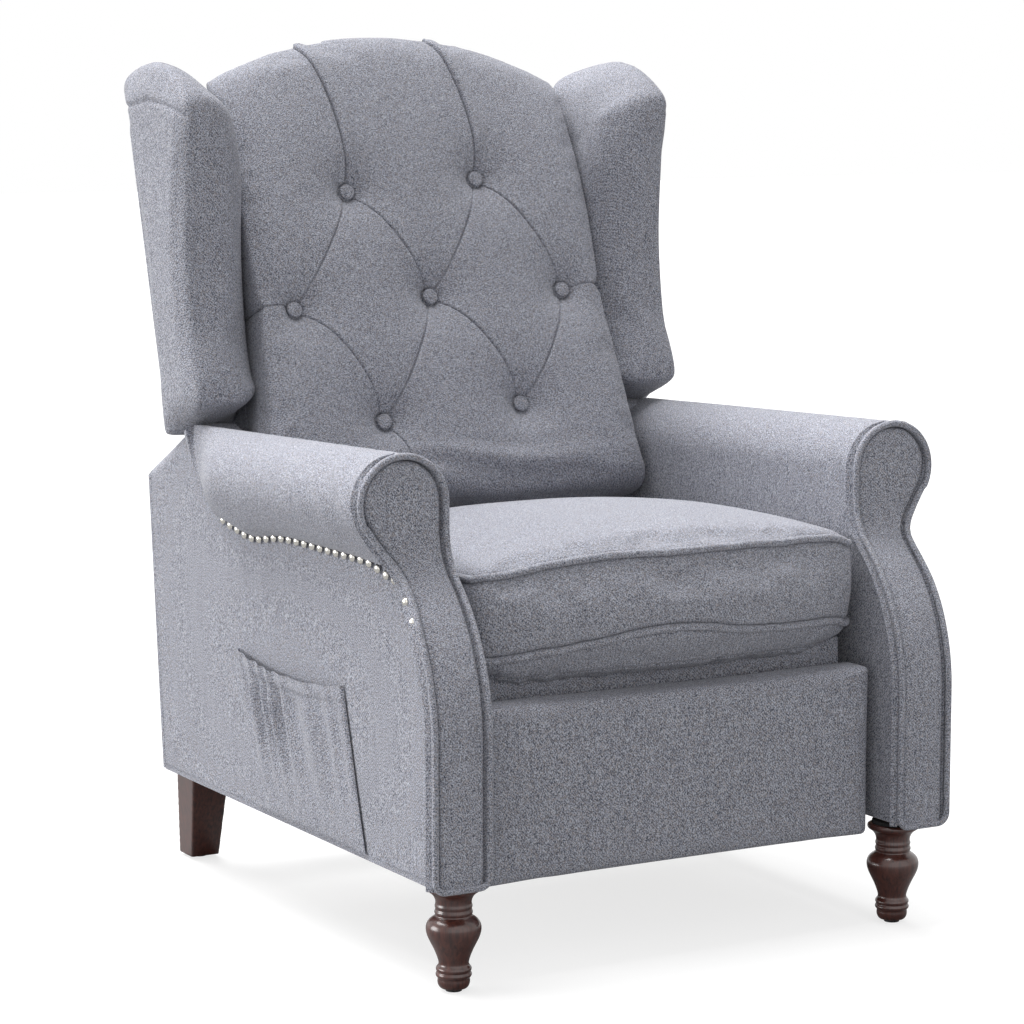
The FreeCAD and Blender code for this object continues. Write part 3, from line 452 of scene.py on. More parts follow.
def dressed(piece, body, key, replaces=()):
    """Gives a finished piece its finish, its body and the solids that it stands for."""
    piece.data.materials.clear()
    piece.data.materials.append(finish_for(key))
    choose(piece)
    bpy.ops.object.shade_smooth_by_angle(angle=math.radians(50))
    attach(piece, body)
    if replaces:
        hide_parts(*replaces)
    return piece


def covered(piece, body, replaces=()):
    """Dresses a piece in the cloth."""
    return dressed(piece, body, "cloth", replaces)


def repeated(name, pattern, placed):
    """One piece made of copies of a pattern, each with its own placed points; the pattern is removed."""
    copies = []
    for points in placed:
        each = linked(name, pattern.data.copy())
        write_points(each, points)
        copies.append(each)
    bpy.data.objects.remove(pattern)
    choose(copies[0])
    for each in copies:
        each.select_set(True)
    bpy.ops.object.join()
    piece = bpy.context.object
    piece.name = name
    cleaned(piece)
    return piece


def smooth_step(low, high, value):
    t = np.clip((value - low) / (high - low), 0, 1)
    return t * t * (3 - 2 * t)


def quarter_round(distance, radius):
    """Share of its full height that a rounded edge has reached at a distance from the edge."""
    return np.sqrt(1 - (1 - np.clip(distance / radius, 0, 1)) ** 2)


def points_at(x, y, z):
    """Points from coordinates, each of them a number or an array."""
    return np.stack(np.broadcast_arrays(x, y, z), -1)


# Arms: sizes of the section and of the scrolled front

ARM_INNER, ARM_OUTER = 0.272, 0.336
ARM_FOOT = 0.123
ROLL_X, ROLL_RADIUS = 0.327, 0.055
ROLL_FRONT_HEIGHT, ROLL_FALL = 0.533, 20 / 543
FRONT_HIGH, FRONT_LOW = -0.311, -0.408
SCROLL_TOP, SCROLL_RADIUS, SCROLL_TURN = 0.505, 0.080, math.radians(47)
SCROLL_LOWER = (FRONT_HIGH - FRONT_LOW) / (1 - math.cos(SCROLL_TURN)) - SCROLL_RADIUS
SCROLL_BEND = SCROLL_TOP - SCROLL_RADIUS * math.sin(SCROLL_TURN)
SCROLL_FOOT = SCROLL_BEND - SCROLL_LOWER * math.sin(SCROLL_TURN)
NAIL_HEIGHT, NAIL_DIP = 0.467, 0.011
FRONT_FLARE = 0.008
SEAM_START, SEAM_END = 0.125, 0.228
REAR_SEAM_Y = (0.125, 0.142, 0.176, 0.205, 0.220, 0.228)
REAR_SEAM_Z = (0.467, 0.475, 0.494, 0.521, 0.545, 0.565)
NECK_TURN = math.radians(-28)
NECK_Z = (0.380, 0.405, 0.425, 0.440, 0.452, 0.462, 0.472, 0.482, 0.494, 0.506, 0.516, 0.525, 0.533)
NECK_X = (0.3430, 0.3420, 0.3398, 0.3385, 0.3390, 0.3420, 0.3478, 0.3555, 0.3640, 0.3718, 0.3770, 0.3800,
          0.3810)
FACET_TOP, FACET_REAR = (0.232, 0.566), (0.354, 0.505)
FACET_FALL = (FACET_TOP[1] - FACET_REAR[1]) / (FACET_REAR[0] - FACET_TOP[0])
REAR_FOOT = 0.315
# Thickness of the covers with a thick and a thin filling
THICK_COVER, THIN_COVER = 0.008, 0.006
# How far, in piping radii, a panel stays clear of the edge that the piping follows
PIPING_ROOM = 1.75
# How far the nails stand behind the front
NAIL_SETBACK = 0.009


def front_y(z):
    """Front of the arm at a height: upright foot, an S, and the upright face of the roll."""
    z = np.asarray(z, float)
    upper = np.clip((SCROLL_TOP - z) / SCROLL_RADIUS, 0, 1)
    lower = np.clip((z - SCROLL_FOOT) / SCROLL_LOWER, 0, 1)
    high = FRONT_HIGH - SCROLL_RADIUS * (1 - np.sqrt(1 - np.minimum(upper, math.sin(SCROLL_TURN)) ** 2))
    low = FRONT_LOW + SCROLL_LOWER * (1 - np.sqrt(1 - np.minimum(lower, math.sin(SCROLL_TURN)) ** 2))
    return np.where(z > SCROLL_BEND, high, low)


def front_flare(distance, z):
    """How far the outer side stands out at a distance behind the front; less at the neck."""
    fading = np.exp(-(np.maximum(distance, 0) / 0.009) ** 1.6)
    return FRONT_FLARE * (0.75 + 0.25 * smooth_step(0.445, 0.395, z)) * fading


def rear_slant(z):
    return REAR_FOOT + (z - ARM_FOOT) * (FACET_REAR[0] - REAR_FOOT) / (FACET_REAR[1] - ARM_FOOT)


def rear_y(z):
    """Slanting rear edge of the arm, cut by the facet behind the roll."""
    return np.minimum(rear_slant(z), FACET_TOP[0] + (FACET_TOP[1] - z) / FACET_FALL)


def roll_z(y):
    return ROLL_FRONT_HEIGHT - ROLL_FALL * (y - FRONT_HIGH)


def roll_reach(y):
    """Half-width of the roll on its outer side, which fades out towards the rear seam."""
    return ROLL_RADIUS - (ROLL_X + ROLL_RADIUS - ARM_OUTER) * smooth_step(0.06, 0.222, y)


def roll_surface(y, angle):
    cosine = np.cos(angle)
    x = ROLL_X + np.where(cosine > 0, roll_reach(y), ROLL_RADIUS) * cosine
    return points_at(x, y, roll_z(y) + ROLL_RADIUS * np.sin(angle))


def nail_z(y):
    """Height of the seam of the roll's cover: nailed and dipping, then climbing at the rear."""
    nailed = NAIL_HEIGHT - NAIL_DIP * np.exp(-((y - 0.045) / 0.055) ** 2)
    climb = np.interp(y, REAR_SEAM_Y, REAR_SEAM_Z)
    return np.where(y < SEAM_START, nailed, climb)


def seam_angle(y):
    """Angle on the roll where its cover leaves the round and runs straight to the seam."""
    share = np.clip((y - SEAM_START) / (SEAM_END - SEAM_START), 0, 1)
    height = nail_z(y) + 0.022 * (1 - share) + 0.001 - roll_z(y)
    rising = np.arcsin(np.clip(height / ROLL_RADIUS, math.sin(NECK_TURN), 0.98))
    return np.where(y < SEAM_START, NECK_TURN, rising)


def side_top(y):
    """Upper edge of the outer side panel: seam of the roll's cover, then facet."""
    return np.where(y < SEAM_END, nail_z(y) + 0.001, FACET_TOP[1] - (y - FACET_TOP[0]) * FACET_FALL)


def rolled_in(distance):
    """How far a cover turns in next to the piping at its edge."""
    return 0.0045 * (1 - quarter_round(distance, 0.006))


def turned(points, side):
    """Points of the right arm, mirrored where side is -1."""
    return np.asarray(points) * (side, 1, 1)


def arm_wrap(name, side):
    """Cover that comes up from the nails, over the roll and down the inner wall."""
    v = np.concatenate([[0, 0.002, 0.004, 0.006, 0.009], np.linspace(0.013, 1, 88)])[:, None]
    neck_share = np.linspace(0, 1, 8)[None, :-1]
    arc_share = np.linspace(0, 1, 60)[None, :]
    wall_share = np.linspace(0, 1, 40)[None, 1:]
    y = FRONT_HIGH + v * (SEAM_END - FRONT_HIGH)
    start = seam_angle(y)
    tuck = roll_surface(y, start)
    proud = 0.0015 + 0.003 * smooth_step(0.10, 0.15, y)
    foot = points_at(ARM_OUTER + proud, y, nail_z(y) - 0.002)
    filled = smooth_step(-0.30, -0.20, y)
    middle = foot + (tuck - foot) * (0.72, 0.5, 0.33)
    t = neck_share[..., None]
    neck = (1 - t) ** 2 * foot + 2 * t * (1 - t) * middle + t ** 2 * tuck
    neck[..., 0] = filled * neck[..., 0] + (1 - filled) * front_edge(neck[..., 2])
    angle = start + arc_share * (math.pi - start)
    level = FACET_TOP[1] + FACET_FALL * FACET_TOP[0] - roll_z(0) - ROLL_RADIUS * np.sin(angle)
    arc_end = np.where(angle > math.pi / 2, np.maximum(level / (FACET_FALL - ROLL_FALL), SEAM_END), SEAM_END)
    arc = roll_surface(FRONT_HIGH + v * (arc_end - FRONT_HIGH), angle)
    z = roll_z(FRONT_HIGH) + wall_share * (ARM_FOOT + 0.004 - roll_z(FRONT_HIGH)) + 0 * v
    z = z - (1 - wall_share) * ROLL_FALL * (SEAM_END - FRONT_HIGH) * v
    wall_y = front_y(z) + v * (rear_y(z) - front_y(z))
    wall = points_at(ARM_INNER, wall_y, z)
    grid = np.concatenate([neck, arc], 1)
    turn_in = rolled_in(grid[..., 1] - FRONT_HIGH)[..., None]
    axis = points_at(ROLL_X, grid[..., 1], roll_z(grid[..., 1]))
    grid = grid + turn_in * (axis - grid) / np.linalg.norm(axis - grid, axis=-1, keepdims=True)
    grid[..., 1] += (front_y(grid[..., 2]) - FRONT_HIGH) * (1 - v) ** 4
    wall[..., 0] += rolled_in(wall_y - front_y(z))
    grid = np.concatenate([grid, wall], 1)
    grid_y, grid_z = grid[..., 1], grid[..., 2]
    ripple = 0.0012 * np.sin(grid_y * 115 + 3 * np.sin(grid_z * 40)) * smooth_step(-0.05, -0.28, grid_y)
    grid[..., 0] += ripple * smooth_step(0.47, 0.52, grid_z)
    return panel(name, turned(grid, side), THICK_COVER, (-side, 0, 1))


def arm_side(name, side):
    """Outer side panel below the nails and behind the rear seam."""
    row = np.linspace(0, 1, 60)[:, None]
    column = np.concatenate([[0, 0.0015, 0.003, 0.005, 0.0075], np.linspace(0.012, 1, 150)])[None, :]
    z = ARM_FOOT + row * 0.33 + 0 * column
    for _ in range(20):
        y = front_y(z) + 0.001 + column * (rear_slant(z) - front_y(z) - 0.001)
        z = ARM_FOOT + row * (side_top(y) - ARM_FOOT)
    swell = 0.0025 * np.sin(math.pi * np.clip(column, 0, 1)) ** 0.5 * np.sin(math.pi * row) ** 0.5
    flare = front_flare(y - front_y(z), z) - rolled_in(y - front_y(z) - 0.001)
    shoulder = 0.011 * np.clip(1 - (side_top(y) - z) / 0.016, 0, 1) ** 2
    shoulder = shoulder * smooth_step(SEAM_END, SEAM_END + 0.012, y)
    grid = points_at(ARM_OUTER - 0.001 + swell + flare - shoulder, y, z)
    turn = np.linspace(0, math.pi / 2, 5)[:-1, None]
    bent = points_at(0.006 * (1 - np.sin(turn)), 0, 0.004 * np.cos(turn) - 0.003)
    bend = np.repeat(grid[:1], 4, 0) - bent
    under = grid[:1] * (0, 1, 1) + (0.300, 0, -0.001)
    piece = panel(name, turned(np.concatenate([under, bend, grid]), side), THIN_COVER, (side, 0, 0))
    rear = np.linspace(SEAM_START, SEAM_END, 60)
    seam = points_at(ARM_OUTER, rear, nail_z(rear) - 0.004)
    pressed_along(piece, turned(seam, side), 0.007, 0.005)
    strip = np.linspace(SEAM_END, FACET_REAR[0] - 0.004, 60)
    strip = points_at(ARM_OUTER, strip, side_top(strip) - 0.016)
    pressed_along(piece, turned(strip, side), 0.004, 0.0025)
    return piece


def front_edge(z):
    """Outer edge of the scrolled front: flared along the foot, drawn in at the neck, round at the roll."""
    lower = np.interp(z, NECK_Z, NECK_X)
    circle = ROLL_X + np.sqrt(np.clip(ROLL_RADIUS ** 2 - (z - ROLL_FRONT_HEIGHT) ** 2, 0, None)) - 0.001
    return np.where(z < ROLL_FRONT_HEIGHT, lower, circle)


def arm_front(name, side):
    """Scrolled front panel between its two lines of piping."""
    edge = PIPING_ROOM * padding().piping_radius
    groove = 0.0075
    top = ROLL_FRONT_HEIGHT + ROLL_RADIUS - edge
    lift = np.linspace(0, 1, 90)[:, None]
    z = ARM_FOOT + 0.001 + (top - ARM_FOOT - 0.001) * (1 - (1 - lift) ** 1.15)
    across = (1 - np.cos(math.pi * np.linspace(0, 1, 33)[None, :])) / 2
    reach = np.sqrt(np.clip((ROLL_RADIUS - edge) ** 2 - (z - ROLL_FRONT_HEIGHT) ** 2, 0, None))
    inner = np.where(z < ROLL_FRONT_HEIGHT, ARM_INNER + edge, ROLL_X - reach)
    outer = np.where(z > ROLL_FRONT_HEIGHT, ROLL_X + reach, front_edge(z) - edge)
    outer = np.maximum(outer, inner + 1e-4)
    x = inner + across * (outer - inner)
    from_edge = np.minimum(np.minimum(x - inner, outer - x), top - z)
    pad = quarter_round(from_edge, 0.005)
    crown = 0.003 * np.clip(from_edge / 0.03, 0, 1) ** 0.7
    y = front_y(z) + groove - groove * pad - crown
    grid = points_at(x, y, z)
    inward, outward = (-0.006, -0.0055, 0), (0.006, -0.0055, 0)
    grid = np.concatenate([grid[:, :1] + inward, grid, grid[:, -1:] + outward], 1)
    return panel(name, turned(grid, side), THICK_COVER, (0, -1, 0))


def arm_rear(name, side):
    """Rear edge of the arm and the facet behind the roll."""
    corner = 0.012
    path = [(REAR_FOOT, ARM_FOOT + 0.001), (FACET_REAR[0] - 0.001, FACET_REAR[1] - corner),
            (FACET_REAR[0] - corner * 0.9, FACET_REAR[1] + corner * 0.25), FACET_TOP,
            (FACET_TOP[0] - 0.02, FACET_TOP[1] - 0.006)]
    steps = []
    for (y0, z0), (y1, z1) in zip(path[:-1], path[1:]):
        count = max(3, round(math.hypot(y1 - y0, z1 - z0) / 0.008))
        share = np.linspace(0, 1, count, endpoint=False)
        steps.append(np.stack([y0 + share * (y1 - y0), z0 + share * (z1 - z0)], -1))
    line = np.concatenate(steps + [np.array(path[-1:])])
    across = np.linspace(ARM_INNER, ARM_OUTER, 12)
    bulge = 0.002 * np.sin(math.pi * np.linspace(0, 1, 12))
    drawn = 1 - 0.17 * smooth_step(FACET_REAR[1] - 0.012, FACET_REAR[1] + 0.004, line[:, 1])
    clear = 0.005 - 0.004 * smooth_step(ARM_FOOT, FACET_REAR[1], line[:, 1])
    columns = [points_at(ARM_INNER + (x - ARM_INNER) * drawn, line[:, 0] + clear + b, line[:, 1] + b)
               for x, b in zip(across, bulge)]
    return panel(name, turned(np.stack(columns, 1), side), THIN_COVER, (0, 1, 0))


def arm_piping_path(side):
    """Closed line of piping round the scrolled front."""
    inset = padding().piping_radius
    corner = 0.012
    ring = ROLL_RADIUS - inset * 0.6
    up = np.linspace(ARM_FOOT + corner, ROLL_FRONT_HEIGHT, 90)
    inner = points_at(ROLL_X - ring, front_y(up), up)
    angle = np.radians(np.linspace(180, -26, 60))[1:]
    roll = points_at(ROLL_X + ring * np.cos(angle), FRONT_HIGH, ROLL_FRONT_HEIGHT + ring * np.sin(angle))
    down = np.linspace(roll[-1, 2] - 0.003, ARM_FOOT + corner, 90)
    outer = points_at(front_edge(down) - inset * 0.4, front_y(down), down)
    turn = np.linspace(0, math.pi / 2, 6)[1:]
    right_x = outer[-1, 0] - corner * (1 - np.cos(turn))
    right = points_at(right_x, FRONT_LOW, ARM_FOOT + corner * (1 - np.sin(turn)))
    left = right[::-1] * (-1, 1, 1) + (outer[-1, 0] + inner[0, 0], 0, 0)
    path = np.concatenate([inner, roll, outer, right, left])
    path[:, 1] -= inset * 0.7
    return turned(path, side)


def nail_places():
    """Places of the nailheads on the outer side of the right arm, as (y, z)."""
    pitch = padding().nail_pitch
    turn_y = front_y(0.455) + NAIL_SETBACK
    row_y = np.arange(SEAM_START, turn_y, -pitch)
    row_y = row_y + 0.0016 * np.sin(row_y * 310)
    row = [(y, nail_z(y) - 0.004 - 0.012 * smooth_step(-0.24, turn_y, y)) for y in row_y]
    heights = np.arange(row[-1][1] - pitch, ARM_FOOT + 0.008, -pitch)
    return row + [(float(front_y(z)) + NAIL_SETBACK, z) for z in heights]


def nail_head():
    """One domed nailhead with a thin rim, facing +X at the origin."""
    deselect()
    radius = padding().nail_radius
    bpy.ops.mesh.primitive_uv_sphere_add(segments=14, ring_count=8, radius=radius)
    head = bpy.context.object
    bpy.ops.object.mode_set(mode="EDIT")
    bpy.ops.mesh.select_all(action="SELECT")
    bpy.ops.mesh.bisect(plane_co=(0, 0, radius * 0.12), plane_no=(0, 0, 1), clear_inner=True, use_fill=True)
    bpy.ops.mesh.select_all(action="SELECT")
    bpy.ops.transform.resize(value=(1, 1, 0.7))
    bpy.ops.transform.rotate(value=-math.pi / 2, orient_axis="Y", center_override=(0, 0, 0))
    bpy.ops.object.mode_set(mode="OBJECT")
    return head


class RECLINER_OT_arms(bpy.types.Operator):
    """Covers both arms and adds their piping and nailheads."""
    bl_idname = "recliner.arms"
    bl_label = "Arms"

    def execute(self, context):
        covers = (
            (arm_wrap, "cover", ("roll", "inner_panel"), 0.7),
            (arm_side, "side_cover", ("outer_panel",), 0.9),
            (arm_front, "front_cover", ("front",), 0.8),
            (arm_rear, "rear_cover", (), 0.9))
        for label, side in SIDES:
            for maker, kind, solids, fill in covers:
                piece = maker(f"{label}_arm_{kind}", side)
                covered(piece, "arm_base", [f"{label}_arm_{solid}" for solid in solids])
            welt = tube(f"{label}_arm_piping", arm_piping_path(side), padding().piping_radius, closed=True)
            covered(welt, "arm_base", ["arm_welts"])
            self.add_nails(f"{label}_arm_nails", side)
        return {"FINISHED"}

    def add_nails(self, name, side):
        pattern = nail_head()
        shape = read_points(pattern)
        placed = []
        for y, z in nail_places():
            x = ARM_OUTER + 0.0012 + 0.75 * front_flare(y - float(front_y(z)), z)
            placed.append(turned(shape + (x, y, z), side))
        nails = repeated(name, pattern, placed)
        dressed(nails, "arm_base", "nickel", ["arm_nailheads"])


# Seat cushion: a box cushion with piping on both edges of its front band

SEAT_HALF = 0.262
SEAT_FRONT, SEAT_REAR = -0.368, 0.098
SEAT_BOW = 0.026
SEAT_UNDER = 0.334
# The lower piping stops short of the links beside the seat
LOWER_PIPING_END = -0.275
# Half the width that the links leave to the lower part of the cushion
LINK_CLEAR = 0.248
SEAT_VOXEL = 0.0055
# How high the middle of the seat rises, how far its rear lies below the front, and how far the lip turns back
SEAT_RISE, SEAT_SLOPE, SEAT_CURL = 0.021, 0.026, 0.020


def seat_front_y(x):
    return SEAT_FRONT + SEAT_BOW * (x / SEAT_HALF) ** 2


def drawn_line(x, stations, heights):
    """Height of an uneven stitched line at x, eased between its stations."""
    fine = np.linspace(-0.30, 0.30, 121)
    return np.interp(x, fine, eased(np.interp(fine, stations, heights), 24))


def seat_top_edge(x):
    return drawn_line(x, (-0.27, -0.24, -0.17, -0.09, 0.05, 0.20, 0.245, 0.27),
                      (0.445, 0.451, 0.463, 0.470, 0.470, 0.466, 0.459, 0.450))


def seat_low_edge(x):
    """Lower piping: sags at the corners, with the uneven line of a soft edge."""
    return drawn_line(x, (-0.27, -0.17, -0.107, -0.055, 0.006, 0.096, 0.231, 0.27),
                      (0.350, 0.363, 0.372, 0.380, 0.381, 0.369, 0.363, 0.353))


def seat_lip(x):
    """Seam under the front, where the lip of the cushion turns back."""
    return drawn_line(x, (-0.27, -0.245, -0.20, 0.19, 0.25, 0.27), (0.340, 0.333, 0.323, 0.323, 0.334, 0.344))


def seat_ring(x):
    """Side view of the cushion at x, as a closed ring."""
    k = abs(x) / SEAT_HALF
    front, top, low = float(seat_front_y(x)), float(seat_top_edge(x)), float(seat_low_edge(x))
    rise = SEAT_RISE * (1 - k ** 2.4)
    back = np.linspace(0, 1, 60)
    y_top = SEAT_REAR + back * (front - SEAT_REAR)
    z_top = top - SEAT_SLOPE * (1 - back) ** 2 + rise * np.sin(math.pi * np.clip(back, 0, 1) ** 0.8) ** 0.8
    band = np.linspace(0, 1, 22)[1:]
    z_band = top + band * (low - top)
    y_band = front - 0.007 * np.sin(math.pi * band) + 0.003 * band
    curl = np.linspace(0, 1, 16)[1:]
    y_curl = front + 0.003 + SEAT_CURL * curl ** 1.4 - 0.004 * np.sin(math.pi * curl)
    z_curl = low + (float(seat_lip(x)) - low) * curl
    floor = np.linspace(0, 1, 36)[1:]
    y_floor = y_curl[-1] + floor * (SEAT_REAR - y_curl[-1])
    z_floor = z_curl[-1] + smooth_step(0.0, 0.06, floor) * (SEAT_UNDER - z_curl[-1])
    end = np.linspace(0, 1, 10)[1:-1]
    z_end = SEAT_UNDER + end * (z_top[0] - SEAT_UNDER)
    y_end = SEAT_REAR + 0.008 * np.sin(math.pi * end)
    y = np.concatenate([y_top, y_band, y_curl, y_floor, y_end])
    z = np.concatenate([z_top, z_band, z_curl, z_floor, z_end])
    return points_at(x, y, z)


class RECLINER_OT_seat(bpy.types.Operator):
    """Makes the box seat cushion, its piping and the cover of the seat's front rail."""
    bl_idname = "recliner.seat"
    bl_label = "Seat"

    def execute(self, context):
        stations = SEAT_HALF * np.sin(np.linspace(-math.pi / 2, math.pi / 2, 75))
        rings = []
        for x in stations:
            ring = seat_ring(x)
            inset = 1 - 0.10 * np.clip((abs(x) / SEAT_HALF - 0.93) / 0.07, 0, 1) ** 2
            middle = ring.mean(0) * (0, 1, 1)
            rings.append(middle + (ring - middle) * (1, inset, inset))
        cushion = loft("seat_cushion_cover", rings)
        remeshed(cushion, SEAT_VOXEL)
        inflated(cushion, CUSHION_PRESSURE, CUSHION_SWELL)
        subdivided(cushion)
        lines = [self.piping_line(cushion, seat_top_edge, SEAT_REAR - 0.05),
                 self.piping_line(cushion, seat_low_edge, LOWER_PIPING_END)]
        for line in lines:
            pressed_along(cushion, line, 0.012, 0.0055)
        x = np.linspace(-SEAT_HALF, SEAT_HALF, 160)
        lip = points_at(x, seat_front_y(x) + 0.02, seat_lip(x))
        pressed_along(cushion, eased(nearest(cushion, lip), 3), 0.006, 0.004)
        points = read_points(cushion)
        beside_links = smooth_step(-0.30, -0.265, points[:, 1]) * smooth_step(0.46, 0.43, points[:, 2])
        widest = SEAT_HALF + 0.02
        limit = widest + (LINK_CLEAR - widest) * beside_links
        points[:, 0] = np.clip(points[:, 0], -limit, limit)
        write_points(cushion, points)
        covered(cushion, "seat_unit", ["seat_cushion"])
        for label, line in zip(("top", "lower"), lines):
            welt = tube(f"seat_{label}_piping", line, padding().piping_radius * 1.15)
            covered(welt, "seat_unit", ["seat_welts"])
        low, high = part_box("seat_front_cover")
        z = np.linspace(low.z, SEAT_UNDER + 0.004, 12)[:, None]
        x = np.linspace(-LINK_CLEAR, LINK_CLEAR, 60)[None, :]
        y = low.y - 0.001 * np.sin(math.pi * (z - low.z) / (high.z - low.z))
        rail = panel("seat_rail_cover", points_at(x, y, z), 0.004, (0, -1, 0))
        covered(rail, "seat_unit", ["seat_front_cover"])
        return {"FINISHED"}

    def piping_line(self, cushion, edge, rear):
        """Piping along one edge: up one side from y = rear, across the front and down the other."""
        corner = 0.024
        x = np.linspace(-SEAT_HALF + corner, SEAT_HALF - corner, 110)
        across = points_at(x, seat_front_y(x), edge(x))
        turn = np.linspace(0, math.pi / 2, 12)[1:]
        bend_y = seat_front_y(SEAT_HALF - corner) + corner * (1 - np.cos(turn))
        bend = points_at(SEAT_HALF - corner + corner * np.sin(turn), bend_y, edge(SEAT_HALF))
        y = np.linspace(bend_y[-1], rear, 70)[1:]
        run = points_at(SEAT_HALF, y, edge(SEAT_HALF))
        right = np.concatenate([bend, run])
        line = np.concatenate([right[::-1] * (-1, 1, 1), across, right])
        return eased(nearest(cushion, line), 3)


# Back cushion: local u across, v up the face and w out of the rear plane

BACK_HEIGHT = 0.711
BACK_REAR_Y, BACK_REAR_RAKE = 0.2923, math.radians(15.5)
BACK_FRONT_Y, BACK_FRONT_RAKE = 0.207, math.radians(21.0)
BACK_HALF, BACK_LOW, BACK_CORNER, BACK_ARCH = 0.250, -0.284, 0.284, 0.064
# Width that the filling draws in again, and how much wider the foot of the cushion is, on each side
BACK_SLACK, BACK_SPREAD = 0.006, 0.009
BACK_VOXEL = 0.007
# Buttons as (across, up the face), with the slight unevenness of hand tufting
BUTTONS = {
    "top_left": (-0.097, 0.148), "top_right": (0.091, 0.162),
    "left": (-0.198, -0.003), "middle": (-0.006, 0.007), "right": (0.188, 0.009),
    "low_left": (-0.102, -0.152), "low_right": (0.096, -0.139)}
CRESTS = {"top_left": (-0.122, 0.365), "top_right": (0.070, 0.365)}
# Pleats between buttons, with how far the middle of each one bows across and up
PLEATS = (
    ("top_left", "left", 0.003, -0.003), ("top_left", "middle", 0.006, 0.009),
    ("top_right", "middle", 0.004, -0.005), ("top_right", "right", 0.009, 0.009),
    ("left", "low_left", 0.012, 0.014), ("middle", "low_left", 0.004, -0.006),
    ("middle", "low_right", 0.012, 0.012), ("right", "low_right", 0.006, -0.006))


# How far a pleat and a button draw the cloth in around them, and the size of the crease along a pleat
PLEAT_SPREAD, BUTTON_SPREAD = 0.012, 0.023
CREASE_DEPTH, CREASE_WIDTH = 0.0026, 0.0013
# Points nearer to a pleat than this are moved onto it
PLEAT_SNAP = 0.0004


def on_back(u, v, share):
    """Point between the rear plane (share 0) and the front plane (share 1) of the back cushion."""
    rake = BACK_REAR_RAKE + share * (BACK_FRONT_RAKE - BACK_REAR_RAKE)
    y = BACK_REAR_Y + share * (BACK_FRONT_Y - BACK_REAR_Y) + v * np.sin(rake)
    return points_at(u, y, BACK_HEIGHT + v * np.cos(rake))


FRONT_OUT = np.array([0, -math.cos(BACK_FRONT_RAKE), math.sin(BACK_FRONT_RAKE)])
FRONT_UP = np.array([0, math.sin(BACK_FRONT_RAKE), math.cos(BACK_FRONT_RAKE)])
FRONT_ORIGIN = np.array([0, BACK_FRONT_Y, BACK_HEIGHT])


def back_rings():
    """Rings round the cushion from its foot to its arched top."""
    t = np.linspace(-1, 1, 90)
    across = np.sign(t) * (1 - (1 - np.abs(t)) ** 1.25)
    k = np.abs(across)
    rings = []
    crown = 1 - 0.07 * np.linspace(1, 0, 16)[1:] ** 2
    for q in np.concatenate([[0, 0.01], np.linspace(0.025, 0.93, 80), crown]):
        u = across * (BACK_HALF + BACK_SLACK + BACK_SPREAD * smooth_step(0.5, 0.15, q))
        top = BACK_CORNER + BACK_ARCH * (1 - k ** 2.2)
        v = BACK_LOW + q * (top - BACK_LOW)
        side = 0.86 + 0.14 * np.clip(1 - k ** 18, 0, 1) ** (1 / 2)
        head = np.clip(1 - (1 - (top - v) / 0.20).clip(0, 1) ** 2.2, 0, 1) ** (1 / 2.0)
        foot = np.clip(1 - (1 - (v - BACK_LOW) / 0.05).clip(0, 1) ** 2.2, 0, 1) ** (1 / 2.2)
        share = 0.08 + 0.94 * side * head * foot
        front = on_back(u, v, share)
        rear = on_back(u[::-1] * 0.985, v[::-1], np.full_like(u, 0.0))
        rings.append(np.concatenate([front, rear]))
    return rings


def bowed(a, b, across, up, count=40):
    """Points along a pleat from button a to button b."""
    t = np.linspace(0, 1, count)[:, None]
    a, b = np.array(a), np.array(b)
    return a + (b - a) * t + 4 * t * (1 - t) * np.array([across, up])


def pleat_lines():
    """Every pleat as its flat line, its depth in the middle, its depth at the button and its lip."""
    lines = [(bowed(BUTTONS[a], BUTTONS[b], across, up), 0.0025, 0.006, 0.0) for a, b, across, up in PLEATS]
    for side, name in ((-1, "left"), (1, "right")):
        u, v = BUTTONS[name]
        lines.append((bowed((u, v), (side * BACK_HALF, v + 0.004), 0, 0.004), 0.003, 0.008, 0.0))
        above = "top_" + name
        lines.append((bowed(BUTTONS[above], CRESTS[above], 0.010, 0), 0.001, 0.006, 0.0045))
    u, v = BUTTONS["low_left"]
    lines.append((bowed((u, v), (u + 0.022, v - 0.05), 0.005, 0), 0.0, 0.006, 0.0))
    return lines


def refined(piece, reach):
    """Splits the faces of the front that lie within reach of a pleat."""
    points = read_points(piece)
    u, v = points[:, 0], (points - FRONT_ORIGIN) @ FRONT_UP
    near = np.zeros(len(points), bool)
    for line, *_ in pleat_lines():
        near |= line_distance(u, v, line)[0] < reach
    near &= read_normals(piece) @ FRONT_OUT > -0.2
    choose(piece)
    bpy.ops.object.mode_set(mode="EDIT")
    bpy.ops.mesh.select_mode(type="VERT")
    bpy.ops.mesh.select_all(action="DESELECT")
    bpy.ops.object.mode_set(mode="OBJECT")
    piece.data.vertices.foreach_set("select", near)
    bpy.ops.object.mode_set(mode="EDIT")
    bpy.ops.mesh.subdivide(number_cuts=1)
    bpy.ops.object.mode_set(mode="OBJECT")


